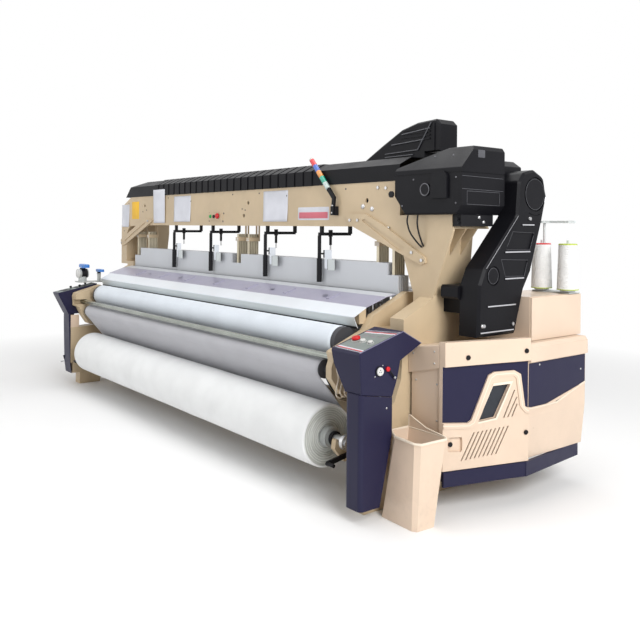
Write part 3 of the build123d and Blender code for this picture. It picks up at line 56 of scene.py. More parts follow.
# Places on the machine, in its own millimetres; an axis along X is given as its Y and Z
ROLL_AXIS, ROLL_RADIUS, ROLL_X, ROLL_TUBE = (48.0, 343.0), 185.0, (-1800.0, 1795.0), 62.0
TAKE_AXIS, TAKE_RADIUS, TAKE_X = (170.0, 880.0), 90.0, (-1862.0, 1771.0)
PRESS_AXIS, PRESS_RADIUS = (45.0, 730.0), 56.0
WEB_X, WEB_START = (-1850.0, 1770.0), radians(84)
WARP_AXIS, WARP_RADIUS, WARP_REACH = (1350.0, 600.0), 301.5, 1837.0
BEAM_FACE, SWITCH_FACE, LAMP_PLATE_FACE = 550.0, 545.0, 511.0
DOBBY_FACE, DOBBY_SIDE, MOUNT_SIDE = 500.0, 2402.0, 2352.0
CASE_FACE, REAR_FACE, CONSOLE_SIDE = 2457.0, 2572.0, 2262.0
CORNER_COVER_FACE, FRONT_PLATE_FACE, BRACKET_FACE = 346.0, 358.0, 1850.0
HANGER_PLATE_FACE, HANGER_BLOCK_FACE, GUIDE_FACE = 537.9, 532.9, 560.8
LEFT_COLUMN_SIDE, LEFT_COLUMN_CHANNEL = -2200.0, -2048.0
BIN_RIM, BIN_BACK = 446.0, 297.0
PUMP_AXIS = (-2138.0, 1078.0)
PANEL_FRONT, PANEL_BACK = (-117.0, 905.0), (197.0, 994.0)
SOCKET, SIDE_KNOB = (15, 796), (73, 803)
DOOR_FRONT, DOOR_REAR = (2409.0, 347.0), (2570.0, 889.0)
DOME_FACE = 758.0
DOME_RIBS = (((1669, 2168), (1916, 2188)), ((1570, 2106), (1862, 2120)), ((1510, 2050), (1810, 2058)),
             ((1510, 2028), (1768, 2030)), ((1926, 2222), (1810, 2058)))
HANGER_X = (-1091.0, -419.0, 411.0, 1082.0)
# Where along X the black rods' painted reflections lie on the shield
ROD_REFLECTION_X = (-1245.0, -638.0, -26.0, 757.0, 1364.0)
BREAST_X = (-1984, 1847)
DEEP_BARS, SHORT_BARS = (-1932.0, -30.0, 1795.0), (-1690.0, 130.0, 1650.0)
FIRST_HEALD, HEALD_PITCH, SLEEVE_TOP = 572.0, 16.0, 1497.0
LAMP_FOOT, LAMP_HEAD, LAMP_Y = (1200.0, 1822.0), (1004.0, 2040.0), 520.0
CONES, TUBE_TOP, TUBE_FOOT = ((2298.0, 1400.0), (2488.0, 1400.0)), 1464.0, 1183.0

# The camera fitted to the photograph: its place in metres, its turns in degrees and its lens
CAMERA_PLACE, CAMERA_TURNS = (5.143, -3.4565, 1.56), ((51.6, "Z"), (90, "X"), (0.43, "Z"))
CAMERA_LENS, CAMERA_SENSOR, CAMERA_SHIFT = 41.67, 36.0, -0.1455

# In metres: half the floor's width, how far it lies below the feet, and where it fades out
FLOOR_REACH, FLOOR_DROP, FLOOR_FADE = 60.0, 0.0006, (3.0, 5.6)

# How bright the white world is to rays that neither the camera, a glossy face nor glass sends out
DIM_LIGHT = 0.36

# The materials, by the names of their finishes
FINISH = {}


def metres(points):
    """Places in the machine's own millimetres, as metres about the part's origin."""
    return (np.asarray(points, float) - (0.0, FEET_TO_ORIGIN, 0.0)) / 1000.0


# Surfaces

def grid_faces(rows, columns, wrap_rows=False, wrap_columns=False):
    """Four-sided faces between neighbouring rows and columns of a grid of points."""
    i, j = np.meshgrid(np.arange(rows if wrap_rows else rows - 1),
                       np.arange(columns if wrap_columns else columns - 1), indexing="ij")
    right, down = (j + 1) % columns, (i + 1) % rows
    corners = [i * columns + j, down * columns + j, down * columns + right, i * columns + right]
    return np.stack(corners, -1).reshape(-1, 4)


def new_piece(name, points, faces, finish, body="frame", slot=None, crease=40.0, choice=None):
    """A mesh from an array of points in metres and its faces, with outward normals, riding on a body.

    finish is one finish's name or several, and choice then gives the number of the finish for each face.
    """
    finishes = (finish,) if isinstance(finish, str) else finish
    mesh = bpy.data.meshes.new(name)
    mesh.from_pydata(np.asarray(points, float).reshape(-1, 3).tolist(), [], [list(f) for f in faces])
    for key in finishes:
        mesh.materials.append(FINISH[key])
    if choice is not None:
        mesh.polygons.foreach_set("material_index", np.asarray(choice, np.int32))
    work = bmesh.new()
    work.from_mesh(mesh)
    bmesh.ops.remove_doubles(work, verts=work.verts, dist=1e-6)
    bmesh.ops.dissolve_degenerate(work, edges=work.edges, dist=1e-7)
    bmesh.ops.recalc_face_normals(work, faces=work.faces)
    work.to_mesh(mesh)
    work.free()
    mesh.shade_smooth()
    mesh.set_sharp_from_angle(angle=radians(crease))
    piece = bpy.data.objects.new(name, mesh)
    bpy.context.scene.collection.objects.link(piece)
    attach(piece, body)
    return piece


def walled(piece, thickness):
    """Gives a sheet its thickness, half to each side."""
    wall = piece.modifiers.new("thickness", "SOLIDIFY")
    wall.thickness, wall.offset = thickness, 0.0


def joined(shapes):
    """Several (points, faces) shapes as one, with the faces' numbers moved on."""
    points, faces, first = [], [], 0
    for shape_points, shape_faces in shapes:
        flat = np.asarray(shape_points, float).reshape(-1, 3)
        points.append(flat)
        faces.extend([[int(v) + first for v in face] for face in shape_faces])
        first += len(flat)
    return np.concatenate(points), faces


def frame_about(axis):
    """Two unit vectors at right angles to an axis and to each other, and the axis itself."""
    axis = np.asarray(axis, float) / np.linalg.norm(axis)
    start = np.array([0.0, 0.0, 1.0]) if abs(axis[2]) < 0.9 else np.array([1.0, 0.0, 0.0])
    side = np.cross(start, axis)
    side /= np.linalg.norm(side)
    return side, np.cross(axis, side), axis


def turned_shape(profile, centre, axis, around=32):
    """A profile of radius and height carried round an axis; centre in machine millimetres."""
    side, up, along = frame_about(axis)
    profile = np.asarray(profile, float)
    angle = np.linspace(0, 2 * pi, around, endpoint=False)
    ring = np.cos(angle)[:, None] * side + np.sin(angle)[:, None] * up
    points = profile[:, None, 0:1] * ring[None] + profile[:, None, 1:2] * along
    return metres(points + np.asarray(centre, float)), grid_faces(len(profile), around, wrap_columns=True)


def turned(name, profile, centres, axis, finish, around=32, **more):
    """The same turned shape at one or several centres, in one mesh."""
    centres = np.atleast_2d(np.asarray(centres, float))
    points, faces = joined([turned_shape(profile, centre, axis, around) for centre in centres])
    return new_piece(name, points, faces, finish, **more)


class Face:
    """A flat face: its origin in machine millimetres, the direction across it and the direction up it.

    A place on it is given as across, up and, where it lies off the face, how far out.
    """

    def __init__(self, origin, right, up):
        self.origin = np.asarray(origin, float)
        self.right, self.up = (np.asarray(way, float) / np.linalg.norm(way) for way in (right, up))
        self.out = np.cross(self.right, self.up)

    def at(self, across, up, out=0.0):
        """One place or, from arrays, several, in machine millimetres."""
        steps = ((across, self.right), (up, self.up), (out, self.out))
        return sum((np.multiply.outer(step, way) for step, way in steps), self.origin)

    def path(self, places):
        return self.at(*np.asarray(places, float).T)

    def raised(self, proud):
        """The same face, moved out by some millimetres."""
        return Face(self.at(0, 0, proud), self.right, self.up)

    def plate_shape(self, outline, depth, bevel=0.3):
        """An outline carried outwards, drawn in towards its middle over the bevel at the outer face."""
        outline = np.asarray(outline, float)
        middle = (outline.max(0) + outline.min(0)) / 2
        size = (outline.max(0) - outline.min(0)) / 2
        inset = middle + (outline - middle) * (size - bevel) / size
        rings, heights = np.stack([outline, outline, inset]), np.array([[0.0], [depth - bevel], [depth]])
        count = len(outline)
        faces = grid_faces(3, count, wrap_columns=True).tolist()
        return (metres(self.at(rings[..., 0], rings[..., 1], heights)),
                faces + [list(range(count)), list(range(2 * count, 3 * count))])

    def plates(self, name, outlines, depth, finish, bevel=0.3, **more):
        """Flat plates with a bevelled outer edge, in one mesh."""
        shapes = [self.plate_shape(outline, depth, bevel) for outline in outlines]
        return new_piece(name, *joined(shapes), finish, **more)

    def rim(self, name, outer, inner, depth, finish, **more):
        """A flat frame between two outlines with as many corners: four walls carried round."""
        rings = np.stack([outer, outer, inner, inner]).astype(float)
        points = self.at(rings[..., 0], rings[..., 1], np.array([[0.0], [depth], [depth], [0.0]]))
        return new_piece(name, metres(points), grid_faces(4, len(outer), True, True), finish, **more)

    def turned(self, name, profile, places, finish, around=32, **more):
        """The same turned shape at one or several places, its axis pointing out."""
        return turned(name, profile, [self.at(*place) for place in places], self.out, finish, around, **more)

    def screws(self, name, places, finish="dark_steel", scale=1.0, high=2.6):
        """Domed screw heads: flat middle, rounded edge and a short skirt into the sheet."""
        radius = bpy.context.scene.loom_sizes.screw * 1000 * scale
        profile = [(0, high), (radius * 0.55, high), (radius * 0.85, high * 0.75), (radius, high * 0.2),
                   (radius, -0.8), (0, -0.8)]
        return self.turned(name, profile, places, finish, 14)

    def beads(self, name, lines, radius, finish, around=8, steps=6, **more):
        """Round beads along lines of straight runs, half sunk in the face."""
        shapes = [bead_shape(self.path(line), radius, around, steps) for line in lines]
        return new_piece(name, *joined(shapes), finish, **more)


def facing_front(y):
    """A face that looks at the weaver: across is X, up is Z."""
    return Face((0, y, 0), EAST, RISE)


def facing_east(x):
    """A face that looks along X: across is Y, up is Z."""
    return Face((x, 0, 0), BACK, RISE)


def facing_west(x):
    """A face that looks against X: across is minus Y, up is Z."""
    return Face((x, 0, 0), FRONT, RISE)


def facing_up(z):
    """A level face: across is X, up is Y."""
    return Face((0, 0, z), EAST, BACK)


def rectangle(x0, x1, z0, z1):
    return [(x0, z0), (x1, z0), (x1, z1), (x0, z1)]


def rounded(x0, x1, z0, z1, radius, corner=5):
    """A rectangle with quarter circles at its corners."""
    centre = np.array([(x1 - radius, z1 - radius), (x0 + radius, z1 - radius),
                       (x0 + radius, z0 + radius), (x1 - radius, z0 + radius)])
    angle = np.linspace(0, pi / 2, corner)[None] + (np.arange(4) * pi / 2)[:, None]
    return (centre[:, None] + radius * np.stack([np.cos(angle), np.sin(angle)], -1)).reshape(-1, 2)


def box_shape(x, y, z):
    """A block between two values along each axis."""
    return facing_front(y[1]).plate_shape(rectangle(*x, *z), y[1] - y[0])


def smooth_path(points, steps=12):
    """Points along a curve that passes through each given point, with tangents from its neighbours."""
    p = np.asarray(points, float)
    ends = np.concatenate([[2 * p[0] - p[1]], p, [2 * p[-1] - p[-2]]])
    t = np.linspace(0, 1, steps, endpoint=False)[None, :, None]
    a, b, c, d = (ends[k:len(ends) - 3 + k, None] for k in range(4))
    curve = 0.5 * (2 * b + (c - a) * t + (2 * a - 5 * b + 4 * c - d) * t ** 2
                   + (3 * b - a - 3 * c + d) * t ** 3)
    return np.concatenate([curve.reshape(-1, 3), p[-1:]])


def tube_shape(path, radius, around=10, closed=False):
    """A circle carried along a path, held square to it, with capped ends or joined to its start."""
    p = np.asarray(path, float)
    run = np.roll(p, -1, 0) - np.roll(p, 1, 0) if closed else np.gradient(p, axis=0)
    run /= np.linalg.norm(run, axis=1)[:, None]
    side = np.cross(run, (0.13, 0.21, 0.97))
    side /= np.linalg.norm(side, axis=1)[:, None]
    up = np.cross(side, run)
    angle = np.linspace(0, 2 * pi, around, endpoint=False)
    radius = np.broadcast_to(np.asarray(radius, float), (len(p),))[:, None, None]
    points = p[:, None] + radius * (np.cos(angle)[None, :, None] * side[:, None]
                                    + np.sin(angle)[None, :, None] * up[:, None])
    faces = grid_faces(len(p), around, closed, True).tolist()
    if not closed:
        faces += [list(range(around)), list(range((len(p) - 1) * around, len(p) * around))]
    return metres(points), faces


def bead_shape(line, radius, around=8, steps=6, closed=False):
    """A tube along straight runs, with the same number of rings to each run."""
    line = np.asarray(line, float)
    runs = [np.linspace(a, b, steps)[:-1] for a, b in zip(line, np.roll(line, -1, 0) if closed else line[1:])]
    return tube_shape(np.concatenate(runs if closed else runs + [line[-1:]]), radius, around, closed)


def surface(x, y, z):
    """A grid of points from three coordinates, each of them a number, a row, a column or a grid."""
    return np.stack(np.broadcast_arrays(x, y, z), -1)


def about_x(x, axis, radius, turn):
    """Places at a radius and an angle about an axis along X."""
    return surface(x, axis[0] + radius * np.cos(turn), axis[1] + radius * np.sin(turn))


def ripple(a, b, seed, count=7, power=1.0):
    """A smooth uneven field from -1 to 1: a sum of sines of both parameters, with seeded rates and phases."""
    draw = np.random.default_rng(seed)
    total = np.zeros(np.broadcast(a, b).shape)
    weight = 0.0
    for k in range(1, count + 1):
        rate_a, rate_b, phase = draw.uniform(-k, k), draw.integers(-k, k + 1), draw.uniform(0, 2 * pi)
        total = total + np.sin(rate_a * a + rate_b * b + phase) / k ** power
        weight += 1 / k ** power
    return total / weight


# Finishes

class Nodes:
    """A node tree, with short calls for its nodes."""

    def __init__(self, tree):
        self.tree = tree

    def feed(self, node, inputs):
        """Gives each named input its value, or links it to another node's output."""
        for key, value in inputs.items():
            if isinstance(value, bpy.types.NodeSocket):
                self.tree.links.new(value, node.inputs[key])
            else:
                node.inputs[key].default_value = value

    def add(self, kind, inputs=None, **settings):
        made = self.tree.nodes.new(kind)
        for key, value in settings.items():
            setattr(made, key, value)
        self.feed(made, inputs or {})
        return made

    def calc(self, operation, a, b=None):
        inputs = {0: a} if b is None else {0: a, 1: b}
        return self.add("ShaderNodeMath", inputs, operation=operation).outputs[0]

    def wave(self, value, pitch):
        """A sine that repeats once in a pitch."""
        return self.calc("SINE", self.calc("MULTIPLY", value, 2 * pi / pitch))

    def spread(self, value, low, high, to_low, to_high):
        """One range of a value carried over to another."""
        return self.add("ShaderNodeMapRange", {"Value": value, "From Min": low, "From Max": high,
                                               "To Min": to_low, "To Max": to_high}).outputs[0]


class Recipe(Nodes):
    """A material's nodes. Every pattern reads Object coordinates."""

    def __init__(self, name, colour, rough, metal=0.0):
        self.material = bpy.data.materials.new(name)
        self.material.use_nodes = True
        super().__init__(self.material.node_tree)
        self.shader = self.tree.nodes["Principled BSDF"]
        self.colour, self.rough, self.height = colour, rough, None
        self.put({"Base Color": (*colour, 1.0), "Roughness": rough, "Metallic": metal})
        self.place = self.add("ShaderNodeTexCoord").outputs["Object"]

    def put(self, inputs):
        self.feed(self.shader, inputs)

    def lacquer(self, coat, rough, gloss):
        self.put({"Coat Weight": coat, "Coat Roughness": rough, "Specular IOR Level": gloss})

    def noise(self, scale, detail=3.0, rough=0.5, place=None):
        return self.add("ShaderNodeTexNoise", {"Scale": scale, "Detail": detail, "Roughness": rough,
                                               "Vector": place or self.place}).outputs["Fac"]

    def axes(self):
        return self.add("ShaderNodeSeparateXYZ", {0: self.place}).outputs

    def mix(self, share, first, second):
        ends = [(*end, 1.0) if isinstance(end, tuple) else end for end in (first, second)]
        return self.add("ShaderNodeMix", {0: share, 6: ends[0], 7: ends[1]}, data_type="RGBA").outputs[2]

    def shade(self, share):
        """The colour, darkened to a share of itself."""
        return tuple(c * share for c in self.colour)

    def tones(self, amount, scale):
        """Cloudy light and dark over the colour."""
        light = tuple(min(1.0, c * (1 + amount * 0.6)) for c in self.colour)
        patches = self.spread(self.noise(scale, 4.0), 0.35, 0.65, 0.0, 1.0)
        cloud = self.mix(patches, self.shade(1 - amount), light)
        self.put({"Base Color": cloud})
        return cloud

    def grime(self, cloud, height, above, grain, start, share):
        """Dust in patches, thickest at the floor and thinner up to a height in metres."""
        low = self.spread(self.axes()[2], 0.0, height, 0.4, above)
        patch = self.spread(self.noise(*grain), start, 0.75, 0.0, 1.0)
        self.put({"Base Color": self.mix(self.calc("MULTIPLY", low, patch), cloud, self.shade(share))})

    def sheen_change(self, amount, scale):
        self.put({"Roughness": self.spread(self.noise(scale, 5.0, 0.6), 0.3, 0.7, self.rough - amount,
                                           self.rough + amount)})

    def bump(self, height, depth, strength=1.0):
        """Relief, on top of the relief that is there already."""
        inputs = {"Distance": depth, "Strength": strength, "Height": height}
        if self.height is not None:
            inputs["Normal"] = self.height
        self.height = self.add("ShaderNodeBump", inputs).outputs[0]
        self.put({"Normal": self.height})


def enamel(name, colour, rough=0.34, tone=0.05, dust=True, coat=0.25, gloss=0.35):
    """Sprayed paint: cloudy tone, orange peel, changing gloss and dust that gathers low down."""
    recipe = Recipe(name, colour, rough)
    cloud = recipe.tones(tone, 2.3)
    if dust:
        recipe.grime(cloud, 0.5, 0.0, (14.0, 6.0, 0.7), 0.48, 0.66)
    recipe.sheen_change(0.07, 9.0)
    recipe.bump(recipe.noise(420.0, 2.0), 0.00022, 0.5)
    recipe.bump(recipe.noise(16.0, 2.0), 0.0012, 0.2)
    recipe.lacquer(coat, 0.18, gloss)
    return recipe.material


def casting(name, colour):
    """Paint over cast iron: rougher skin, with pits and a slow wave."""
    recipe = Recipe(name, colour, 0.42)
    recipe.grime(recipe.tones(0.07, 3.1), 0.9, 0.08, (11.0, 7.0, 0.72), 0.5, 0.58)
    recipe.sheen_change(0.08, 12.0)
    recipe.bump(recipe.noise(190.0, 4.0, 0.65), 0.0006, 0.45)
    recipe.bump(recipe.noise(22.0, 2.0), 0.002, 0.3)
    return recipe.material


def moulded(name, colour, rough=0.42, grain=900.0, depth=0.00018, coat=0.0, gloss=0.32):
    """Moulded plastic with a fine grain."""
    recipe = Recipe(name, colour, rough)
    recipe.tones(0.12, 4.0)
    recipe.sheen_change(0.06, 7.0)
    recipe.bump(recipe.noise(grain, 2.0), depth, 0.6)
    recipe.bump(recipe.noise(9.0, 2.0), 0.0015, 0.2)
    recipe.lacquer(coat, 0.12, gloss)
    return recipe.material


def machined(name, colour, along, rough=0.3):
    """Metal with fine tool lines along one axis."""
    recipe = Recipe(name, colour, rough, 1.0)
    scale = [260.0, 260.0, 260.0]
    scale["xyz".index(along)] = 5.0
    drawn = recipe.add("ShaderNodeMapping", {"Scale": scale, "Vector": recipe.place}).outputs[0]
    lines = recipe.noise(1.0, 3.0, 0.6, drawn)
    recipe.put({"Roughness": recipe.spread(lines, 0.3, 0.7, max(0.03, rough - 0.08), rough + 0.12)})
    recipe.tones(0.12, 6.0)
    recipe.bump(lines, 0.0002, 0.35)
    return recipe.material


def woven(name, colour, pitch):
    """Plain weave: crossed ridges, each lifted over the next, with slow slack waves."""
    recipe = Recipe(name, colour, 0.85)
    recipe.tones(0.04, 5.0)
    x, y, z = recipe.axes()
    across = recipe.wave(recipe.calc("ADD", y, z), pitch)
    recipe.bump(recipe.calc("MULTIPLY", recipe.wave(x, pitch), across), pitch * 0.22, 0.5)
    recipe.bump(recipe.noise(26.0, 4.0, 0.6), 0.003, 0.25)
    recipe.put({"Sheen Weight": 0.2, "Sheen Roughness": 0.5})
    return recipe.material


def windings(name, colour):
    """The end of a cloth roll: rings from the distance to the roll's axis, bent by a slow noise."""
    recipe = Recipe(name, colour, 0.85)
    axes, centre = recipe.axes(), metres((0, *ROLL_AXIS))
    off = [recipe.calc("SUBTRACT", axes[k], float(centre[k])) for k in (1, 2)]
    far = recipe.calc("SQRT", recipe.calc("ADD", *(recipe.calc("MULTIPLY", part, part) for part in off)))
    bent = recipe.calc("ADD", far, recipe.calc("MULTIPLY", recipe.noise(9.0, 2.0), 0.012))
    ring = recipe.calc("ADD", recipe.calc("MULTIPLY", recipe.wave(bent, 0.013), 0.5), 0.5)
    recipe.put({"Base Color": recipe.mix(ring, recipe.shade(0.72), colour)})
    recipe.bump(ring, 0.004, 0.6)
    recipe.bump(recipe.wave(bent, 0.0042), 0.0012, 0.5)
    return recipe.material


def wound(name, colour, pitch=0.0022):
    """Yarn wound on a cone: slanted fine ridges."""
    recipe = Recipe(name, colour, 0.8)
    recipe.tones(0.05, 12.0)
    x, y, z = recipe.axes()
    lean = recipe.calc("ADD", recipe.calc("MULTIPLY", z, 2 * pi / pitch),
                       recipe.calc("MULTIPLY", recipe.calc("ADD", x, y), 900.0))
    recipe.bump(recipe.calc("SINE", lean), pitch * 0.25, 0.5)
    recipe.put({"Sheen Weight": 0.3})
    return recipe.material


def clear_lens(name, colour):
    """Ribbed lamp plastic that carries a little light of its own."""
    recipe = Recipe(name, colour, 0.18)
    recipe.tones(0.15, 30.0)
    recipe.bump(recipe.wave(recipe.axes()[2], 0.004), 0.0004, 0.5)
    recipe.put({"Coat Weight": 0.6, "Emission Color": (*colour, 1.0), "Emission Strength": 0.12})
    return recipe.material


def dark_glass(name, colour):
    """A dark window: smooth, with a faint cloud and slow waves."""
    recipe = Recipe(name, colour, 0.08)
    recipe.tones(0.25, 9.0)
    recipe.bump(recipe.noise(5.0, 1.0), 0.0006, 0.2)
    recipe.lacquer(0.2, 0.05, 0.3)
    return recipe.material


def dress(finish, *nodes):
    """Gives carried-over nodes their finish."""
    for node in nodes:
        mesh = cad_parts[node].data
        mesh.materials.clear()
        mesh.materials.append(FINISH[finish])


# Sizes and colours that a user would change

def paint(name, description, default):
    """A colour that the panel shows."""
    return FloatVectorProperty(name=name, description=description, subtype="COLOR", default=default, min=0,
                               max=1)


class LoomColours(bpy.types.PropertyGroup):
    cast: paint("Castings", "Paint of the castings and beams", (0.540, 0.422, 0.275))
    cover: paint("Covers", "Paint of the sheet covers, the cabinet and the bin", (0.700, 0.550, 0.425))
    navy: paint("Navy", "Paint of the consoles, skirts and door panel", (0.017, 0.016, 0.045))
    black: paint("Black plastic", "Beam cover, dobby housing and drive case", (0.007, 0.007, 0.009))
    white: paint("White metal", "Breast cover", (0.74, 0.78, 0.83))
    cloth: paint("Cloth", "Cloth on the roll", (0.84, 0.85, 0.85))


class LoomSizes(bpy.types.PropertyGroup):
    roll_wave: FloatProperty(name="Roll unevenness", description="How far the roll departs from a cylinder",
                             default=0.0016, min=0, max=0.01, unit="LENGTH")
    screw: FloatProperty(name="Screw head", description="Radius of the screws on the covers", default=0.007,
                         min=0.002, max=0.02, unit="LENGTH")


def make_finishes():
    """All finishes, from the colours that the panel shows."""
    colours = bpy.context.scene.loom_colours
    cast, cover, navy, black, white, cloth = (
        tuple(getattr(colours, key)) for key in ("cast", "cover", "navy", "black", "white", "cloth"))
    FINISH.update(
        cast=casting("cast tan", cast),
        cover=enamel("cover tan", cover),
        # Lighter than the covers: painted highlight on the bin's rim, the ridges and the window frame; the
        # pipes' own beige
        light_edge=enamel("beige paint and ridge highlight", (0.80, 0.70, 0.57), dust=False),
        # Bright metal lines on the black drive case: painted highlights along its ledges and bevel
        bright_edge=machined("bright edge", (0.70, 0.70, 0.74), "z"),
        navy=enamel("navy paint", navy, 0.36, 0.03, False, 0.0, 0.2),
        # A lighter navy: painted highlight along the console head's edge
        navy_light=enamel("navy painted highlight", (0.20, 0.19, 0.30), 0.34, 0.03, False, 0.0),
        black=moulded("black housing", black, 0.38, gloss=0.11),
        black_metal=enamel("black metal", (0.009, 0.009, 0.011), 0.42, dust=False, coat=0.0, gloss=0.15),
        white=enamel("white metal", white, 0.36, dust=False),
        # Grey white: the yarn stand's and hanger blocks' own paint, and painted shade on the breast cover's
        # lower face
        white_low=enamel("grey white metal and painted shade", (0.60, 0.64, 0.64), 0.4, dust=False),
        lilac=enamel("shield lilac", (0.37, 0.36, 0.46), 0.4, dust=False),
        # A darker lilac: painted reflections of the black rods on the glossy shield
        lilac_dark=enamel("shield painted reflection", (0.28, 0.28, 0.36), 0.4, dust=False),
        panel=enamel("heald panel", (0.58, 0.60, 0.63), 0.42, 0.03, False, 0.1),
        hub=enamel("hub metal", (0.44, 0.46, 0.45), 0.35, dust=False),
        steel=machined("steel", (0.55, 0.55, 0.56), "x"),
        steel_y=machined("steel bolts", (0.52, 0.52, 0.53), "y"),
        dark_steel=machined("dark screws", (0.12, 0.12, 0.13), "y", 0.4),
        chrome=machined("polished rod", (0.34, 0.36, 0.33), "x", 0.24),
        olive=machined("lifting bar", (0.52, 0.47, 0.36), "z", 0.45),
        rubber=moulded("roller rubber", (0.055, 0.055, 0.062), 0.6, 500.0, 0.0003),
        slot_dark=moulded("slot shade", (0.085, 0.060, 0.042), 0.6, gloss=0.1),
        dark=moulded("dark plastic", (0.012, 0.012, 0.014), 0.5, gloss=0.15),
        cloth=woven("roll cloth", cloth, 0.0024),
        roll_end=windings("roll end", (0.74, 0.76, 0.72)),
        take_cloth=woven("take up cloth", (0.68, 0.73, 0.79), 0.0018),
        # A grey copy of the roll's white cloth: painted shade on the web, which faces down
        web=woven("web cloth in painted shade", (0.45, 0.45, 0.48), 0.0018),
        yarn=wound("wound yarn", (0.80, 0.80, 0.79)),
        warp=wound("warp yarn", (0.70, 0.70, 0.68), 0.003),
        red=moulded("red cap", (0.55, 0.012, 0.016), 0.28),
        green=moulded("green cap", (0.02, 0.32, 0.07), 0.3),
        blue=enamel("blue handle", (0.03, 0.17, 0.52), 0.3, dust=False),
        yellow=moulded("yellow plate", (0.86, 0.50, 0.03), 0.5),
        rose=moulded("rose plate", (0.62, 0.16, 0.20), 0.5),
        lime=moulded("yellow green rim", (0.45, 0.55, 0.08), 0.5),
        pale=moulded("pale plastic", (0.62, 0.62, 0.60), 0.35),
        panel_field=moulded("console field", (0.20, 0.23, 0.22), 0.45),
        # A grey lighter than the black housings: painted highlights on raised edges, ribs and outlines; the
        # dobby's badge takes it too
        relief=moulded("raised edge highlight", (0.075, 0.076, 0.086), 0.35),
        grey=moulded("grey plastic", (0.22, 0.22, 0.23), 0.4),
        paper=moulded("paper", (0.66, 0.67, 0.72), 0.8, 260.0, 0.0003),
        glass=dark_glass("door window", (0.022, 0.026, 0.034)),
        lamp_clear=clear_lens("lamp clear", (0.42, 0.50, 0.48)),
        lamp_green=clear_lens("lamp green", (0.01, 0.30, 0.20)),
        lamp_orange=clear_lens("lamp orange", (0.62, 0.24, 0.04)),
        lamp_blue=clear_lens("lamp blue", (0.03, 0.10, 0.42)),
        lamp_red=clear_lens("lamp red", (0.60, 0.02, 0.03)),
    )


class LOOM_OT_castings(bpy.types.Operator):
    """Finishes of the castings and beams, with the screws, papers and plates of the beam's face"""
    bl_idname = "loom.castings"
    bl_label = "Castings"
    bl_options = {"REGISTER", "UNDO"}

    def execute(self, context):
        dress("cast", "side_frame_left", "side_frame_right", "cross_beams", "upright_left", "upright_right",
              "overhead_beam", "corner_braces", "sley", "beam_switch_box")
        dress("black_metal", "dobby_mount_block")
        dress("steel_y", "cover_bolts")
        dress("red", "beam_stop_button")
        beam = facing_front(BEAM_FACE)
        beam.screws("beam_screws", (
            (-1240, 1823), (-86, 1821), (306, 1819), (1350, 1816), (-1788, 1699), (-1706, 1714),
            (-2124, 1788), (-797, 1782), (674, 1790), (105, 1690), (60, 1700), (-2236, 1503)))
        beam.screws("beam_bolts", ((1526, 1695), (1613, 1678)), "steel_y", 2.4, 9.0)
        facing_front(LAMP_PLATE_FACE).screws("lamp_bolts", ((1249, 1656), (1254, 1706)), "steel_y", 0.9, 3.0)
        beam.screws("switch_screws", ((-467, 1669), (-226, 1667), (-467, 1606), (-238, 1600)), "dark_steel",
                    1.2, 2.0)
        cap = [(0, 9), (12, 9), (15, 6), (15, -0.8), (0, -0.8)]
        for finish, place in (("green", (-436, 1643)), ("dark", (-379, 1642))):
            facing_front(SWITCH_FACE).turned("switch_%s_cap" % finish, cap, [place], finish, 28)
        # Dark discs set back in the beam's holes: painted shade at their bottoms
        beam.raised(-13).turned("beam_hole_shades", [(0, 1), (15.6, 1), (15.6, 0), (0, 0)],
                                ((148, 1747), (85, 1646), (1562, 1733), (-1746, 1756)), "dark")
        self.papers()
        for part, outline, proud, depth, finish in (
                ("yellow", (-2046, -1878, 1626, 1802, 4), 0.0, 0.9, "yellow"),
                ("white", (816, 1174, 1608, 1700, 8), 0.0, 0.9, "paper"),
                ("rose", (830, 1160, 1620, 1664, 4), 0.9, 0.8, "rose")):
            beam.raised(proud).plates("beam_label_" + part, [rounded(*outline)], depth, finish, 0.4)
        return DONE

    def papers(self):
        """Sheets of paper on the beam: a grid with u across and w up. A sheet stands off by 0.8 mm, by a
        share w^0.6 of its top's distance, by 5 u^6 (1 - w)^2 at a corner and by 2 (1 - w)^6 at its foot."""
        shapes = []
        u, w = np.meshgrid(np.linspace(0, 1, 12), np.linspace(0, 1, 14), indexing="ij")
        for x0, x1, z0, z1, top in ((-2290, -2108, 1544, 1776, 0.8), (-1537, -1292, 1586, 1908, 11.6),
                                    (-1119, -797, 1598, 1833, 0.8), (366, 690, 1598, 1831, 0.8)):
            lift = 0.8 + (top - 0.8) * w ** 0.6 + 5.0 * u ** 6 * (1 - w) ** 2 + 2.0 * (1 - w) ** 6
            points = surface(x0 + (x1 - x0) * u + 2.0 * (w - 0.5), BEAM_FACE - lift, z0 + (z1 - z0) * w)
            shapes.append((metres(points), grid_faces(12, 14)))
        walled(new_piece("beam_papers", *joined(shapes), "paper", slot="cover_white"), 0.0003)


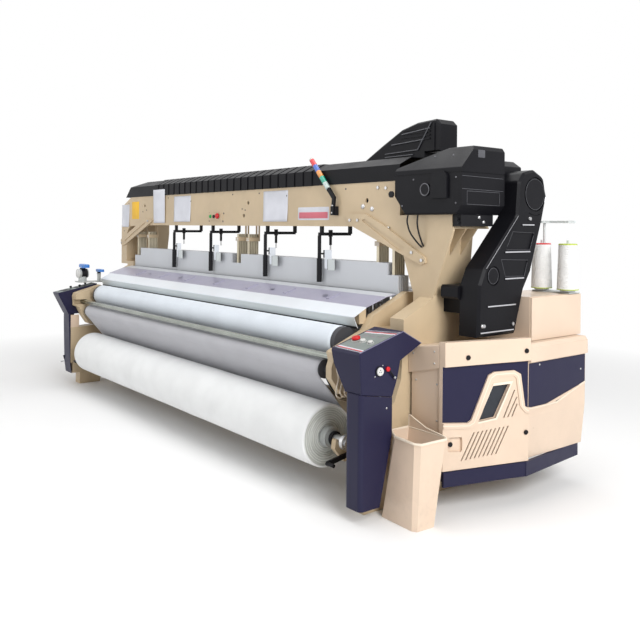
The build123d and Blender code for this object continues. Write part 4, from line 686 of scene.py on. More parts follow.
class LOOM_OT_housings(bpy.types.Operator):
    """Black housings over the beam, the dobby and its drive, with their bolts, and bars and edge lines in
    painted highlight
    """
    bl_idname = "loom.housings"
    bl_label = "Housings"
    bl_options = {"REGISTER", "UNDO"}

    def execute(self, context):
        dress("black", "beam_top_cover", "beam_end_dome", "dobby_box", "drive_case")
        dress("dark", "dobby_cables")
        self.drive_case()
        # Beads along the dome's ribs in the lighter grey: painted highlights on the louvres' edges
        facing_front(DOME_FACE).beads("dome_rib_highlights", DOME_RIBS, 4.2, "relief")
        self.dobby()
        return DONE

    def drive_case(self):
        """Painted highlights on the case's bars and edges and round its two bosses and two recesses; its
        bolts.
        """
        case = facing_east(CASE_FACE)
        # Painted highlights: thin bright bars along the case's ledges, and a bright line down its bevel
        bars = [rectangle(y0 + 1, y1 - 1, z - 3.6, z + 3.6) for y0, y1, z in (
            (975, 1092, 1581), (816, 1053, 1422), (816, 994, 1268), (663, 918, 1116), (600, 899, 971))]
        case.raised(4).plates("drive_case_highlight_bars", bars, 0.7, "bright_edge")
        case.screws("drive_case_bolts", ((1049, 1618), (619, 1009), (894, 1004)), "steel_y", 1.7, 8.6)
        edges = (((988, 1204), (1056, 1307), (1164, 1607), (1206, 1752)), ((944, 1634), (654, 1331)))
        case.raised(-1).beads("drive_case_edge_highlight", edges, 1.1, "bright_edge")
        # Lighter grey outlines round the bosses and recesses: painted highlights
        turn = np.linspace(0, 2 * pi, 49)
        lines = [[(y + radius * cos(a), z + radius * sin(a), -0.6) for a in turn]
                 for y, z, radius in ((1102, 1765, 92), (714, 1288, 45))]
        for recess in (((890, 1540), (1096, 1533), (1053, 1432), (828, 1436), (890, 1540)),
                       ((785, 1380), (1034, 1372), (1000, 1278), (822, 1282), (785, 1380))):
            lines.append([(y, z, -0.8) for y, z in recess])
        case.beads("drive_case_outline_highlights", lines, 1.4, "relief")

    def dobby(self):
        """The dobby box's seam, knob, disc and screws; painted highlight lines, badge and bolts on its outer
        side.
        """
        front, side = facing_front(DOBBY_FACE), facing_east(DOBBY_SIDE)
        seam = rectangle(1880, 2396, 1870.5, 1875.5)
        front.raised(-3.6).plates("dobby_seam_dark", [seam], 0.4, "dark", 0.1)
        lines = [[(505, z), (868, z - 5)] for z in (1853, 1780)]
        lines.append([(547, 1768), (834, 1766), (834, 1690), (547, 1694), (547, 1768)])
        # Lighter grey lines on the dobby's outer side: painted highlights
        side.beads("dobby_side_highlight_lines", lines, 1.5, "relief")
        side.plates("dobby_side_badge", [rounded(640, 700, 1962, 2006, 5)], 0.8, "relief")
        facing_east(MOUNT_SIDE).screws("mount_side_bolts", ((710, 1622), (751, 1594)), "steel_y", 1.7, 9.0)
        front.raised(3).turned("dobby_knob", [(0, 14), (17, 14), (20, 11), (20, -1), (0, -1)], [(1850, 1763)],
                               "dark", 24)
        front.screws("dobby_screws", ((2030, 1845), (2360, 1845), (2360, 1700), (1935, 1690), (2340, 1970),
                                      (2200, 1970)), "dark_steel", 0.9)
        front.turned("dobby_disc_rim", [(38, 0), (38, 9), (33, 10), (31, 8), (31, 0)], [(2128, 1783)],
                     "dark_steel", 40)


class LOOM_OT_harness(bpy.types.Operator):
    """Heald frames, hangers and guides below the beam"""
    bl_idname = "loom.harness"
    bl_label = "Harness"
    bl_options = {"REGISTER", "UNDO"}

    def execute(self, context):
        dress("panel", *["heald_frame_%d" % number for number in range(1, 7)])
        dress("black_metal", "hanger_bars", "hanger_rods")
        dress("cast", "harness_guides")
        dress("steel", "reed")
        sheets = [rectangle(x + 62, x + 140, 1272, 1402) for x in HANGER_X]
        facing_front(HANGER_PLATE_FACE).plates("hanger_white_plates", sheets, 0.8, "white")
        blocks = [rectangle(x + 103, x + 178, 1263, 1338) for x in HANGER_X]
        facing_front(HANGER_BLOCK_FACE).plates("hanger_grey_blocks", blocks, 0.8, "white_low")
        rods = [tube_shape([(x, 640, z) for z in (1436, 1414, 1392)], 6.0, 14) for x in HANGER_X]
        new_piece("hanger_rod_tips", *joined(rods), "steel")
        for number in range(1, 7):
            self.bar_sleeves(number)
        bands = [rectangle(x - 20, x + 20, z, z + 6) for x in DEEP_BARS + SHORT_BARS for z in (1444, 1456)]
        facing_front(GUIDE_FACE).plates("guide_bands", bands, 1.6, "pale", 0.4)
        return DONE

    def bar_sleeves(self, number):
        """Thin metal sleeves on one heald frame's lifting bars, clear of the guides' slots."""
        y = FIRST_HEALD + HEALD_PITCH * (number - 1)
        shapes = [box_shape((x - 11.25, x + 11.25), (y - 4.25, y + 4.25), (foot, SLEEVE_TOP))
                  for bars, foot in ((DEEP_BARS, 1262.0), (SHORT_BARS, 1337.0)) for x in bars]
        new_piece("lift_bar_sleeves_%d" % number, *joined(shapes), "olive", "heald_%d_body" % number)


class LOOM_OT_rollers(bpy.types.Operator):
    """Rollers, the cloth on them, the cloth roll and the breast cover"""
    bl_idname = "loom.rollers"
    bl_label = "Rollers and cloth"
    bl_options = {"REGISTER", "UNDO"}

    def execute(self, context):
        dress("rubber", "take_up_roller", "press_roller")
        dress("chrome", "spreader_rod")
        dress("steel", "cloth_roll_shaft", "back_rest_roller", "warp_beam")
        dress("black_metal", "roll_clamp_levers")
        dress("white", "breast_cover")
        dress("lilac", "reed_shield")
        self.wound_roll()
        self.hub()
        self.web()
        self.take_up_cloth()
        self.warp()
        self.breast()
        return DONE

    def wound_roll(self):
        """The cloth roll: a profile along the roll and down both ends, carried round its axis. The radius
        has a slow ripple of the length and the angle, and each end is a sum of two sines of the radius and
        the angle, a spiral, with windings that stand out unevenly."""
        wave = bpy.context.scene.loom_sizes.roll_wave * 1000
        around, corner, rings, steps = 192, 12.0, 45, 90
        turn = np.linspace(0, 2 * pi, around, endpoint=False)[None]
        bend = np.linspace(0, pi / 2, 5)[1:]
        inward = np.linspace(ROLL_RADIUS - corner, ROLL_TUBE, rings + 1)[1:]
        along = np.linspace(ROLL_X[0] + corner, ROLL_X[1] - corner, steps)
        shoulder, drawn_in = ROLL_RADIUS - corner * (1 - np.cos(bend)), corner * (1 - np.sin(bend))
        r = np.concatenate([inward[::-1], shoulder[::-1], np.full(steps, ROLL_RADIUS), shoulder, inward])
        x = np.concatenate([np.full(rings, ROLL_X[0]), (ROLL_X[0] + drawn_in)[::-1], along,
                            ROLL_X[1] - drawn_in, np.full(rings, ROLL_X[1])])
        side = np.repeat([-1.0, 0.0, 1.0], [rings, steps + 2 * len(bend), rings])
        r, x, side = r[:, None], x[:, None], side[:, None]
        spiral = np.sin(2 * pi * r / 8.5 + turn) + 0.6 * np.sin(2 * pi * r / 3.7 - turn * 2)
        x = x + side * (1.6 * spiral + 3.0 * ripple(r / 9.0, turn, 5)) - side * 4.6
        r = r - np.where(side == 0, wave, 0.0) * (1 + ripple(x / 260.0, turn, 11, 9, 0.7))
        faces = grid_faces(len(r), around, wrap_columns=True)
        ends = np.repeat(np.abs(side[:-1, 0]) > 0, around).astype(int)
        piece = new_piece("cloth_roll_wound", metres(about_x(x, ROLL_AXIS, r, turn)), faces,
                          ("cloth", "roll_end"), "cloth_roll_body", choice=ends)
        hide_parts("cloth_roll")

    def hub(self):
        """The cap and the collar at the roll's right end."""
        end = facing_east(ROLL_X[1])
        cap = [(30.4, 48), (45, 48), (58, 45), (59.5, 42), (59.5, 14), (63, 12), (63, 0.5), (30.4, 0.5),
               (30.4, 48)]
        end.turned("roll_hub_cap", cap, [ROLL_AXIS], "hub", 48, body="cloth_roll_body")
        collar = [(30.4, 76), (40, 76), (42, 73), (42, 58), (40, 55), (30.4, 55), (30.4, 76)]
        end.turned("roll_hub_collar", collar, [ROLL_AXIS], "dark", 40, body="cloth_roll_body")

    def web(self):
        """The cloth between press roller and roll: an arc round the roller, then the straight tangent, with a
        slight slack that is a sine of the length and a ripple of the width."""
        middle, far = PRESS_RADIUS + 1.2, ROLL_RADIUS + 1.3
        apart = hypot(ROLL_AXIS[0] - PRESS_AXIS[0], ROLL_AXIS[1] - PRESS_AXIS[1])
        down = atan2(ROLL_AXIS[1] - PRESS_AXIS[1], ROLL_AXIS[0] - PRESS_AXIS[0])
        leave = down - acos((middle + far + 0.1) / apart) + 2 * pi
        normal = np.array([cos(leave), sin(leave)])
        turn = np.linspace(WEB_START, leave, 24)
        arc = PRESS_AXIS + middle * np.stack([np.cos(turn), np.sin(turn)], -1)
        step = np.linspace(0, 1, 30)[1:, None]
        line = np.concatenate([arc, arc[-1] + (ROLL_AXIS - far * normal - arc[-1]) * step])
        slack = np.concatenate([np.zeros(24), np.sin(np.linspace(0, pi, 30)[1:])])
        x = np.linspace(WEB_X[0], WEB_X[1], 120)[:, None]
        reach = np.linspace(0, 1, len(line))[None]
        push = slack[None] * (1.2 * ripple(x / 330.0, reach * 3.0, 3) - 0.6)
        points = surface(x, line[None, :, 0] + push * normal[0], line[None, :, 1] + push * normal[1])
        # The web in its grey finish: painted shade
        piece = new_piece("cloth_web_shaded_sheet", metres(points), grid_faces(120, len(line)), "web")
        walled(piece, 0.0008)
        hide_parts("cloth_web")

    def take_up_cloth(self):
        """The cloth over the take-up roller: a tube a little larger than the drum, its radius rippled."""
        turn = np.linspace(0, 2 * pi, 97)[None]
        x = np.linspace(*TAKE_X, 100)[:, None]
        radius = TAKE_RADIUS + 1.0 + 0.25 * (1 + ripple(x / 210.0, turn, 8))
        piece = new_piece("take_up_cloth", metres(about_x(x, TAKE_AXIS, radius, turn)), grid_faces(100, 97),
                          "take_cloth", "take_up_body")
        walled(piece, 0.0007)

    def warp(self):
        """Yarn on the warp beam: a cylinder whose radius ripples with the turn of each winding."""
        turn = np.linspace(0, 2 * pi, 128, endpoint=False)[None]
        x = np.linspace(-WARP_REACH, WARP_REACH, 160)[:, None]
        radius = WARP_RADIUS + 0.5 * np.sin(x / 6.0 + turn) + 0.8 * ripple(x / 90.0, turn, 21)
        first, last = about_x(x[[0, -1]], WARP_AXIS, WARP_RADIUS - 3.5, turn)
        whole = np.concatenate([first[None], about_x(x, WARP_AXIS, radius, turn), last[None]])
        new_piece("warp_yarn", metres(whole), grid_faces(162, 128, wrap_columns=True), "warp", "warp_body")

    def breast(self):
        """The breast cover's lower face in painted shade, the dark strips at its foot in painted shadow, and
        the shield's painted reflections of the black rods and its light strip.
        """
        # The breast cover's lower face, which looks down, in a greyer white: painted shade
        lower = Face((0, 225, 961), EAST, (0, -30, 70))
        lower.plates("breast_lower_face_shade", [rectangle(*BREAST_X, 1, 72)], 0.7, "white_low", slot="cover_white")
        # Dark strips at the cover's foot: painted shadow in the gap above the take-up cloth
        new_piece("breast_gap_shadow", *box_shape(BREAST_X, (226.5, 232), (956.6, 962.5)), "dark")
        facing_front(224).plates("breast_edge_shadow", [rectangle(*BREAST_X, 961.5, 971)], 6.5, "dark", 0.5)
        shield = Face((0, 296.5, 1091.2), EAST, (0, 162, 53))
        # Soft darker marks on the shield: painted reflections of the black rods
        shield.plates("shield_rod_reflections", [rounded(x - 18, x + 18, 62, 92, 8) for x in ROD_REFLECTION_X], 0.7, "lilac_dark")
        back = Face((0, 457.2, 1135.2), EAST, (0, 78, 15))
        back.plates("shield_light_strip", [rectangle(-2008, 1846, 2, 76)], 0.7, "panel")


class LOOM_OT_consoles(bpy.types.Operator):
    """Operating consoles at both ends: panels, stripes, socket, knob, lever and screws"""
    bl_idname = "loom.consoles"
    bl_label = "Consoles"
    bl_options = {"REGISTER", "UNDO"}

    def execute(self, context):
        dress("navy", "console_head_right", "console_column_right", "console_head_left",
              "console_column_left")
        dress("red", "console_stop_button")
        dress("pale", "console_start_button", "console_jog_button")
        slope = np.subtract(PANEL_BACK, PANEL_FRONT)
        self.panel(Face((0, *PANEL_FRONT), EAST, (0, *slope)), hypot(1, slope[1] / slope[0]))
        self.side(facing_east(CONSOLE_SIDE))
        self.left(Face((0, -200, 900), EAST, (0, 386, 78)))
        return DONE

    def panel(self, panel, stretch):
        """Thin fields, marks and collars on the sloping panel; a step along Y times stretch is one up it."""
        for name, outlines, proud, finish in (
                ("border_front", [((2038, 14), (2254, 6), (2251, 36), (2041, 44))], 0.0, "paper"),
                ("border_back", [((2041, 232), (2252, 262), (2256, 306), (2036, 268))], 0.0, "paper"),
                ("stripes_red", [((2041, 24), (2251, 16), (2251, 25), (2041, 33)),
                                 ((2040, 242), (2253, 274), (2253, 284), (2040, 252))], 0.15, "red"),
                ("stripes_navy", [((2041, 18), (2251, 9.5), (2251, 14.5), (2041, 22.5)),
                                  ((2040, 255), (2253, 287), (2253, 302), (2040, 264))], 0.15, "navy")):
            panel.raised(proud).plates("panel_" + name, outlines, 0.15, finish, 0.05)
        turn = np.linspace(0, 2 * pi, 48, endpoint=False)
        circle = np.stack([np.cos(turn), np.sin(turn)], -1)
        for part, x0, low0, high0, x1, low1, high1, x, y, radius in (
                ("left", 2041, 44, 232, 2113, 41, 242, 2082, 12, 24),
                ("middle", 2113, 41, 242, 2175, 39, 251, 2144, 6, 15),
                ("right", 2175, 39, 251, 2251, 36, 262, 2206, 4, 15)):
            hole = np.array([x, (y - PANEL_FRONT[0]) * stretch])
            corners = ((x0, low0), (x1, low1), (x1, high1), (x0, high0))
            self.window(panel, "panel_field_" + part, corners, hole, 9.6)
            panel.raised(0.3).rim("panel_collar_" + part, hole + (radius + 4.5) * circle,
                                  hole + (radius + 1.2) * circle, 2.2, "pale")
        marks = [rounded(2064, 2110, 186, 214, 4), rounded(2122, 2168, 190, 218, 4),
                 rounded(2182, 2228, 196, 224, 4)]
        panel.raised(0.3).plates("panel_marks", marks, 0.15, "grey", 0.05)
        # A lighter navy bead along the head's top edge: painted highlight
        x = CONSOLE_SIDE - 3
        edge = bead_shape([(x, -119, 903.5), (x, 197, 992.5), (x, 338, 917)], 2.0, 8, 8)
        new_piece("console_edge_highlight", *edge, "navy_light")

    def window(self, panel, name, corners, hole, radius):
        """A flat field with a round hole: each point of the circle and the point of the outline beyond it."""
        corners = np.asarray(corners, float)
        turn = np.linspace(0, 2 * pi, 72, endpoint=False)
        beam = np.stack([np.cos(turn), np.sin(turn)], -1)
        edge = never = np.full(len(turn), np.inf)
        for a, b in zip(corners, np.roll(corners, -1, 0)):
            normal = np.array([b[1] - a[1], a[0] - b[0]])
            facing = beam @ normal
            reach = np.divide((a - hole) @ normal, facing, out=never.copy(), where=facing > 1e-9)
            edge = np.where(reach > 0, np.minimum(edge, reach), edge)
        panel.rim(name, hole + edge[:, None] * beam, hole + radius * beam, 0.3, "panel_field")

    def side(self, side):
        """The socket, the knob with its lever and the screws on the console's outer side."""
        y, z = SOCKET
        side.turned("console_socket", [(0, 4), (11, 4), (12, 6.5), (20, 7.5), (22.5, 5), (22.5, 0), (0, 0)],
                    [(y, z, 8)], "pale", 36)
        side.turned("console_socket_pins", [(0, 0.8), (2.6, 0.8), (3.0, 0), (3.0, -2), (0, -2)],
                    [(y + 6.5 * cos(a), z + 6.5 * sin(a), 12) for a in (pi / 2, 7 * pi / 6, 11 * pi / 6)],
                    "dark", 16)
        side.turned("console_socket_ring", [(27, 0), (27, 6), (25, 7.5), (24.2, 7.5), (24.2, 0)], [SOCKET],
                    "dark", 36)
        side.screws("console_socket_screws", ((-14, 770), (42, 824)), "steel_y", 0.6)
        side.screws("console_column_screw", [(73, 592)], "steel_y", 0.9)
        side.turned("console_side_knob", [(0, 15), (9, 15), (13, 12), (13.5, 4), (11, 0), (11, -1), (0, -1)],
                    [SIDE_KNOB], "red", 28)
        lever = side.path([(*SIDE_KNOB, 6), (88, 788, 12), (106, 767, 12), (119, 753, 11)])
        new_piece("console_side_lever", *tube_shape(smooth_path(lever, 8), 4.0, 12), "dark")
        side.turned("console_lever_end", [(0, 8), (5, 8), (7, 6), (7, -6), (5, -8), (0, -8)],
                    [(119, 753, 11)], "steel_y", 20)

    def left(self, panel):
        """The left console's panel, painted shade in its openings, its knobs, the black foot and its small
        lever.
        """
        panel.plates("left_panel_field", [rectangle(-2200, -2062, 16, 372)], 0.7, "panel_field")
        # Dark plates in the panel's openings: painted shade
        panel.raised(0.7).plates("left_panel_opening_shades", [
            rounded(-2186, -2136, 40, 130, 24, 8), rounded(-2126, -2078, 60, 150, 24, 8),
            rounded(-2180, -2080, 190, 224, 6), rounded(-2180, -2080, 250, 284, 6)], 0.7, "dark")
        knob = [(0, 22), (9, 22), (12, 18), (12, 8), (7, 5), (7, 0), (0, 0)]
        panel.raised(0.6).turned("left_panel_knobs", knob, ((-2160, 165), (-2108, 236), (-2178, 320)), "dark",
                                 24)
        foot = ((99, 268), (84, 216), (70, 114), (0, 206), (-8, 268))
        facing_west(LEFT_COLUMN_SIDE).plates("left_column_foot", [foot], 1.0, "dark", 0.4)
        plate = rectangle(-82, 4, 250, 680)
        facing_east(LEFT_COLUMN_CHANNEL).plates("left_column_plate", [plate], 3.0, "cover", 0.5)
        lever = smooth_path([(-2196, -84, 214), (-2198, -104, 208), (-2199, -122, 206)], 6)
        new_piece("left_foot_lever", *tube_shape(lever, 5.0, 12), "steel_y")


class LOOM_OT_end_covers(bpy.types.Operator):
    """Covers, door, cabinet, bin and motor at the two ends"""
    bl_idname = "loom.end_covers"
    bl_label = "End covers"
    bl_options = {"REGISTER", "UNDO"}

    def execute(self, context):
        dress("cover", "front_covers_right", "control_cabinet", "cabinet_door", "waste_bin", "end_cover_left",
              "rear_cover_right", "door_front")
        dress("navy", "skirt_right")
        dress("grey", "drive_motor")
        self.door(Face((*DOOR_FRONT, 0), (*np.subtract(DOOR_REAR, DOOR_FRONT), 0), RISE), "front_door_body")
        self.rear(facing_east(REAR_FACE))
        facing_front(CORNER_COVER_FACE).screws("corner_cover_screws", ((2190, 850), (2350, 880), (2350, 815)),
                                               "steel_y", 0.8)
        facing_front(FRONT_PLATE_FACE).screws("front_plate_screws", ((2200, 700), (2360, 700), (2360, 500)),
                                              "steel_y", 0.9)
        self.roller_end(facing_west(BRACKET_FACE))
        self.bin_rim()
        return DONE

    def bin_rim(self):
        """The bin's rolled rim in painted highlight: a circle carried round the rim, and another along the
        raised back.
        """
        rim_line = facing_up(BIN_RIM).path([(2306, 94), (2465, 76), (2498, 94), (2504, 272), (2474, 300),
                                            (2205, 300), (2205, 163)])
        crest = facing_front(BIN_BACK).path([(2209, 450), (2209, 511), (2219, 512), (2342, 466), (2470, 450)])
        shapes = [bead_shape(rim_line, 7.0, 14, 9, closed=True), bead_shape(crest, 4.0, 10, 5)]
        new_piece("bin_rolled_rim", *joined(shapes), "light_edge", slot="bin_paint")

    def door(self, door, body):
        """The door's navy field, window, slots and knobs, given along the door and up. The slots hold painted
        shade, and the ridge and window frame are painted highlights.
        """
        field = [(1, 501), (157, 489), (180, 502), (291, 741), (327, 758), (465, 759), (508, 736), (538, 551),
                 (564, 538), (564, 803), (1, 803)]
        door.plates("door_navy_field", [field], 0.8, "navy", body=body)
        pane = ((326, 677), (436, 680), (338, 502), (230, 491))
        door.raised(-12).plates("door_window", [pane], 2.0, "glass", 0.4, body=body)
        # The window frame in the lighter beige: painted highlight
        door.raised(8).rim("door_window_frame", [(325, 695), (457, 699), (349, 489), (213, 476)],
                           [(322, 680), (440, 684), (341, 499), (224, 487)], 0.9, "light_edge", body=body)
        # Dark plates set back at the bottoms of the slots: painted shade inside them
        cuts = ((465, 647, 392, 494), (481, 606, 419, 495), (483, 567, 448, 497))
        slots = [((top + 1, high - 1), (top + 8, high - 1), (foot + 8, low + 1), (foot + 1, low + 1))
                 for top, high, foot, low in cuts]
        for s, z in ((198 + i * 28.1, 432 + i * 1.9) for i in range(9)):
            slots.append(((s + 0.5, z - 1), (s + 8.5, z - 1), (s - 74, z - 149), (s - 82, z - 149)))
        door.raised(-5).plates("door_slot_shades", slots, 3.0, "slot_dark", 0.2, body=body)
        door.turned("door_knob_caps", [(0, 1.6), (11, 1.6), (13.6, 0.8), (14, -3), (0, -3)],
                    ((51, 379, 5), (547, 400, 10), (150, 850, 25), (538, 866, 25)), "dark", 24, body=body)
        # The ridge bead is lighter than the door: painted highlight
        ridge = ((1, 485), (168, 472), (200, 487), (309, 726), (341, 742), (462, 743), (492, 724), (521, 551),
                 (552, 526), (564.5, 520))
        door.raised(5.5).beads("door_ridge_highlight", [ridge], 6.0, "light_edge", 14, 5, body=body)

    def rear(self, rear):
        """The rear cover's navy field, the ridge below it in painted highlight, and its screws."""
        field = [(892, 539), (917, 535), (1162, 537), (1387, 603), (1462, 622), (1462, 788), (892, 788)]
        rear.raised(-1.6).plates("rear_navy_field", [field], 2.3, "navy")
        # The ridge bead is lighter than the cover: painted highlight
        ridge = ((892, 534), (917, 529), (1162, 530), (1387, 597), (1462, 616))
        rear.raised(0.5).beads("rear_ridge_highlight", [ridge], 6.0, "light_edge", 12)
        rear.screws("rear_cover_screws", ((994, 772, 0.6), (1416, 700, 0.5)), "steel_y", 0.9)

    def roller_end(self, bracket):
        """The black flange bearing on its three-cornered plate, and the thin pipes clipped beside it."""
        plate = ((11, 694), (-32, 676), (-74, 650), (-70, 618), (-52, 606), (-20, 640))
        bracket.plates("flange_plate", [plate], 7.0, "black_metal", 0.8)
        bracket.turned("flange_bearing", [(0, 14), (8, 14), (9, 10), (15, 10), (18, 6), (19, 0), (0, 0)],
                       [(-48, 640, 7)], "dark", 32)
        routes = (((1904, 34, 800), (1905, 20, 753), (1905, 34, 700), (1905, 22, 650), (1906, 18, 606),
                   (1903, 44, 584), (1894, 80, 590)),
                  ((1904, 62, 806), (1905, 48, 750), (1905, 66, 696), (1905, 52, 650), (1906, 48, 612),
                   (1903, 74, 588), (1894, 106, 584)),
                  ((1904, 92, 812), (1905, 78, 756), (1905, 98, 700), (1905, 84, 646), (1906, 80, 606),
                   (1903, 104, 582), (1894, 134, 578)))
        shapes = [tube_shape(smooth_path(route, 10), 5.0, 10) for route in routes]
        new_piece("roller_end_pipes", *joined(shapes), "light_edge")


class LOOM_OT_yarn(bpy.types.Operator):
    """Yarn cones on their stand, the weft pump and the signal lamp"""
    bl_idname = "loom.yarn"
    bl_label = "Yarn, pump and lamp"
    bl_options = {"REGISTER", "UNDO"}

    def execute(self, context):
        dress("white_low", "yarn_stand")
        dress("hub", "weft_pump")
        dress("blue", "pump_handle")
        dress("black_metal", "signal_lamp_pole")
        self.cones()
        self.lamp()
        self.pump()
        return DONE

    def cones(self):
        """Wound cones: radius falls from foot to top, with crossing ridges from two slanted sines, and the
        coloured rims of their tubes."""
        turn = np.linspace(0, 2 * pi, 72, endpoint=False)[None]
        z = np.concatenate([np.full(7, 1180.0), np.linspace(1180, 1200, 5)[1:-1], np.linspace(1200, 1460, 84),
                            np.full(7, 1461.5)])[:, None]
        radius = np.concatenate([np.linspace(20, 65.2, 7), np.full(3, 65.2), np.linspace(65.2, 56.4, 84),
                                 np.linspace(56.0, 20, 7)])[:, None]
        ridge = 0.35 * np.sin(z / 2.2 + 3 * turn) + 0.35 * np.sin(z / 2.2 - 3 * turn)
        radius = radius + ridge * np.where((z > 1181) & (z < 1461), 1.0, 0.2) - 0.4
        shapes = []
        for x, y in CONES:
            points = surface(x + radius * np.cos(turn), y + radius * np.sin(turn), z)
            shapes.append((metres(points), grid_faces(len(z), 72, wrap_columns=True)))
        piece = new_piece("yarn_cone_windings", *joined(shapes), "yarn", crease=60)
        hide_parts("yarn_cones")
        collar = [(9, 3), (52, 3), (57, 0), (57, -5), (52, -8), (9, -8), (9, 3)]
        foot = [(20, 5), (62, 5), (66, 2), (66, -3), (20, -3), (20, 5)]
        for part, profile, z, places, finish in (("red", collar, TUBE_TOP, CONES[:1], "red"),
                                                 ("lime", collar, TUBE_TOP, CONES[1:], "lime"),
                                                 ("feet", foot, TUBE_FOOT, CONES, "lime")):
            facing_up(z).turned("yarn_tube_" + part, profile, places, finish, 48)

    def lamp(self):
        """The signal lamp: one profile of radius along the leaning axis, with grooves between its colours."""
        run, cap = hypot(LAMP_HEAD[0] - LAMP_FOOT[0], LAMP_HEAD[1] - LAMP_FOOT[1]), 14.0
        axis = (LAMP_HEAD[0] - LAMP_FOOT[0], 0, LAMP_HEAD[1] - LAMP_FOOT[1])
        colours = ("lamp_clear", "lamp_green", "lamp_orange", "lamp_blue", "lamp_red", "pale")
        long = (run - cap) / 5
        profile = [(0, 0.4)]
        for k in range(5):
            low, high = k * long + 0.4, (k + 1) * long - 0.4
            profile += [(16.4, low), (17.8, low + 2), (17.8, high - 2), (16.4, high)]
        profile += [(17.6, run - cap + 1), (17.6, run - 5), (13, run - 1), (0, run - 0.6)]
        points, faces = turned_shape(profile, (LAMP_FOOT[0], LAMP_Y, LAMP_FOOT[1]), axis, 40)
        piece = new_piece("signal_lamp_stack", points, faces, colours, choice=np.repeat(range(6), 4 * 40),
                          crease=30)
        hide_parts("signal_lamp_lenses")

    def pump(self):
        """The second blue handle and the pump's dark fittings at the left end."""
        x, z = PUMP_AXIS
        second, grip = rounded(-2132, -1996, 196, 244, 22, 7), rounded(-2190, -2000, 44, 96, 24, 7)
        facing_up(z + 15).plates("pump_second_handle", [second], 26, "blue", 6.0)
        facing_up(z + 60).plates("pump_handle_grip", [grip], 34, "blue", 8.0, body="pump_handle_body")
        turned("pump_barrel_band", [(44, 0), (47, 2), (47, 58), (44, 60)], [(x, 50, z)], BACK, "dark", 40)
        facing_up(z + 15.5).turned("pump_second_hub", [(0, 3), (13, 3), (15, 0), (15, -17), (0, -17)],
                                   [(-2090, 220)], "dark", 28)
        cap = [(0, 8), (22, 8), (28, 4), (44.6, 3), (44.6, -12), (44, -12)]
        facing_front(20).turned("pump_front_cap", cap, [PUMP_AXIS], "pale", 36)
        ring = [(17, 0), (26, 0), (28, 3), (28, 12), (17, 14)]
        facing_up(z + 40).turned("pump_dark_ring", ring, [(x, 70)], "dark", 32)


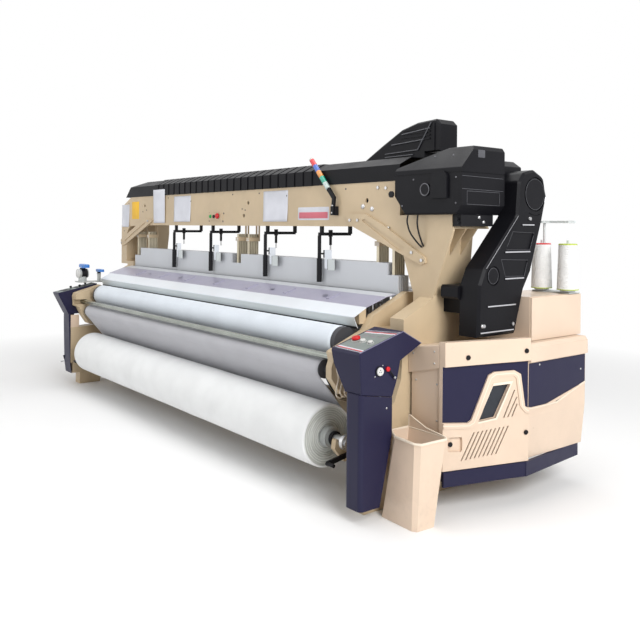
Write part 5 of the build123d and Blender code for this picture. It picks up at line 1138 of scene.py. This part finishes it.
class LOOM_OT_stage(bpy.types.Operator):
    """Pale floor, soft studio light and the camera"""
    bl_idname = "loom.stage"
    bl_label = "Stage"
    bl_options = {"REGISTER", "UNDO"}

    def execute(self, context):
        self.floor(context)
        self.world(context)
        self.lamps(context)
        self.camera(context)
        return DONE

    def floor(self, context):
        """A wide floor that fades into white light of its own away from the machine."""
        mesh = bpy.data.meshes.new("floor")
        square = rectangle(-FLOOR_REACH, FLOOR_REACH, -FLOOR_REACH, FLOOR_REACH)
        corners = [(x, y, -FLOOR_DROP) for x, y in square]
        mesh.from_pydata(corners, [], [(0, 1, 2, 3)])
        floor = bpy.data.objects.new("floor", mesh)
        context.scene.collection.objects.link(floor)
        recipe = Recipe("studio floor", (0.90, 0.90, 0.90), 0.6)
        far = recipe.add("ShaderNodeVectorMath", {0: recipe.place}, operation="LENGTH").outputs["Value"]
        mixer = recipe.add("ShaderNodeMixShader", {0: recipe.spread(far, *FLOOR_FADE, 0.0, 1.0),
                                                   1: recipe.shader.outputs[0],
                                                   2: recipe.add("ShaderNodeEmission").outputs[0]})
        recipe.feed(recipe.tree.nodes["Material Output"], {"Surface": mixer.outputs[0]})
        mesh.materials.append(recipe.material)

    def world(self, context):
        """A dim even light that the camera, glossy and transmission rays see as white."""
        world = bpy.data.worlds.new("studio")
        context.scene.world = world
        world.use_nodes = True
        nodes = Nodes(world.node_tree)
        ray = nodes.add("ShaderNodeLightPath").outputs
        seen = nodes.calc("MAXIMUM", ray["Is Camera Ray"], ray["Is Glossy Ray"])
        seen = nodes.calc("MAXIMUM", seen, ray["Is Transmission Ray"])
        nodes.feed(nodes.tree.nodes["Background"], {"Color": (1, 1, 1, 1),
                                                    "Strength": nodes.spread(seen, 0.0, 1.0, DIM_LIGHT, 1.0)})

    def lamps(self, context):
        """Square area lamps, each given by its place, the place it looks at, its size and its power."""
        for name, place, aim, size, watts in (
                ("key", (7.6, -1.6, 4.2), (1.6, 0, 0.9), 3.6, 430.0),
                ("fill", (-2.5, -7.0, 3.6), (0, 0, 0.9), 5.0, 130.0),
                ("top", (0.0, 0.2, 6.5), (0, 0, 0), 6.0, 240.0)):
            lamp = bpy.data.lights.new(name, "AREA")
            lamp.shape, lamp.size, lamp.energy = "SQUARE", size, watts
            light = bpy.data.objects.new(name, lamp)
            light.location = place
            light.rotation_euler = (Vector(aim) - Vector(place)).to_track_quat("-Z", "Y").to_euler()
            context.scene.collection.objects.link(light)

    def camera(self, context):
        """The fitted camera: level, with a heading and a slight roll."""
        lens = bpy.data.cameras.new("camera")
        lens.lens, lens.sensor_width, lens.shift_y = CAMERA_LENS, CAMERA_SENSOR, CAMERA_SHIFT
        lens.clip_end = 200.0
        camera = bpy.data.objects.new("camera", lens)
        place = Matrix.Translation(CAMERA_PLACE)
        for degrees, axis in CAMERA_TURNS:
            place = place @ Matrix.Rotation(radians(degrees), 4, axis)
        camera.matrix_world = place
        context.scene.collection.objects.link(camera)
        context.scene.camera = camera
        context.scene.view_settings.view_transform = "Standard"


STEPS = (LOOM_OT_stage, LOOM_OT_castings, LOOM_OT_housings, LOOM_OT_harness, LOOM_OT_rollers,
         LOOM_OT_consoles, LOOM_OT_end_covers, LOOM_OT_yarn)


class LOOM_PT_panel(bpy.types.Panel):
    bl_label = "Power loom"
    bl_idname = "LOOM_PT_panel"
    bl_space_type = "VIEW_3D"
    bl_region_type = "UI"
    bl_category = "Loom"

    def draw(self, context):
        for step in STEPS:
            self.layout.operator(step.bl_idname)
        for group in (context.scene.loom_colours, context.scene.loom_sizes):
            for key in group.__annotations__:
                self.layout.prop(group, key)


CLASSES = (LoomColours, LoomSizes, *STEPS, LOOM_PT_panel)


def register():
    for cls in CLASSES:
        bpy.utils.register_class(cls)
    bpy.types.Scene.loom_colours = PointerProperty(type=LoomColours)
    bpy.types.Scene.loom_sizes = PointerProperty(type=LoomSizes)


def unregister():
    del bpy.types.Scene.loom_sizes
    del bpy.types.Scene.loom_colours
    for cls in reversed(CLASSES):
        bpy.utils.unregister_class(cls)


def main():
    register()
    make_finishes()
    bpy.ops.loom.stage()
    bpy.ops.loom.castings()
    bpy.ops.loom.housings()
    bpy.ops.loom.harness()
    bpy.ops.loom.rollers()
    bpy.ops.loom.consoles()
    bpy.ops.loom.end_covers()
    bpy.ops.loom.yarn()


if __name__ == "__main__":
    main()
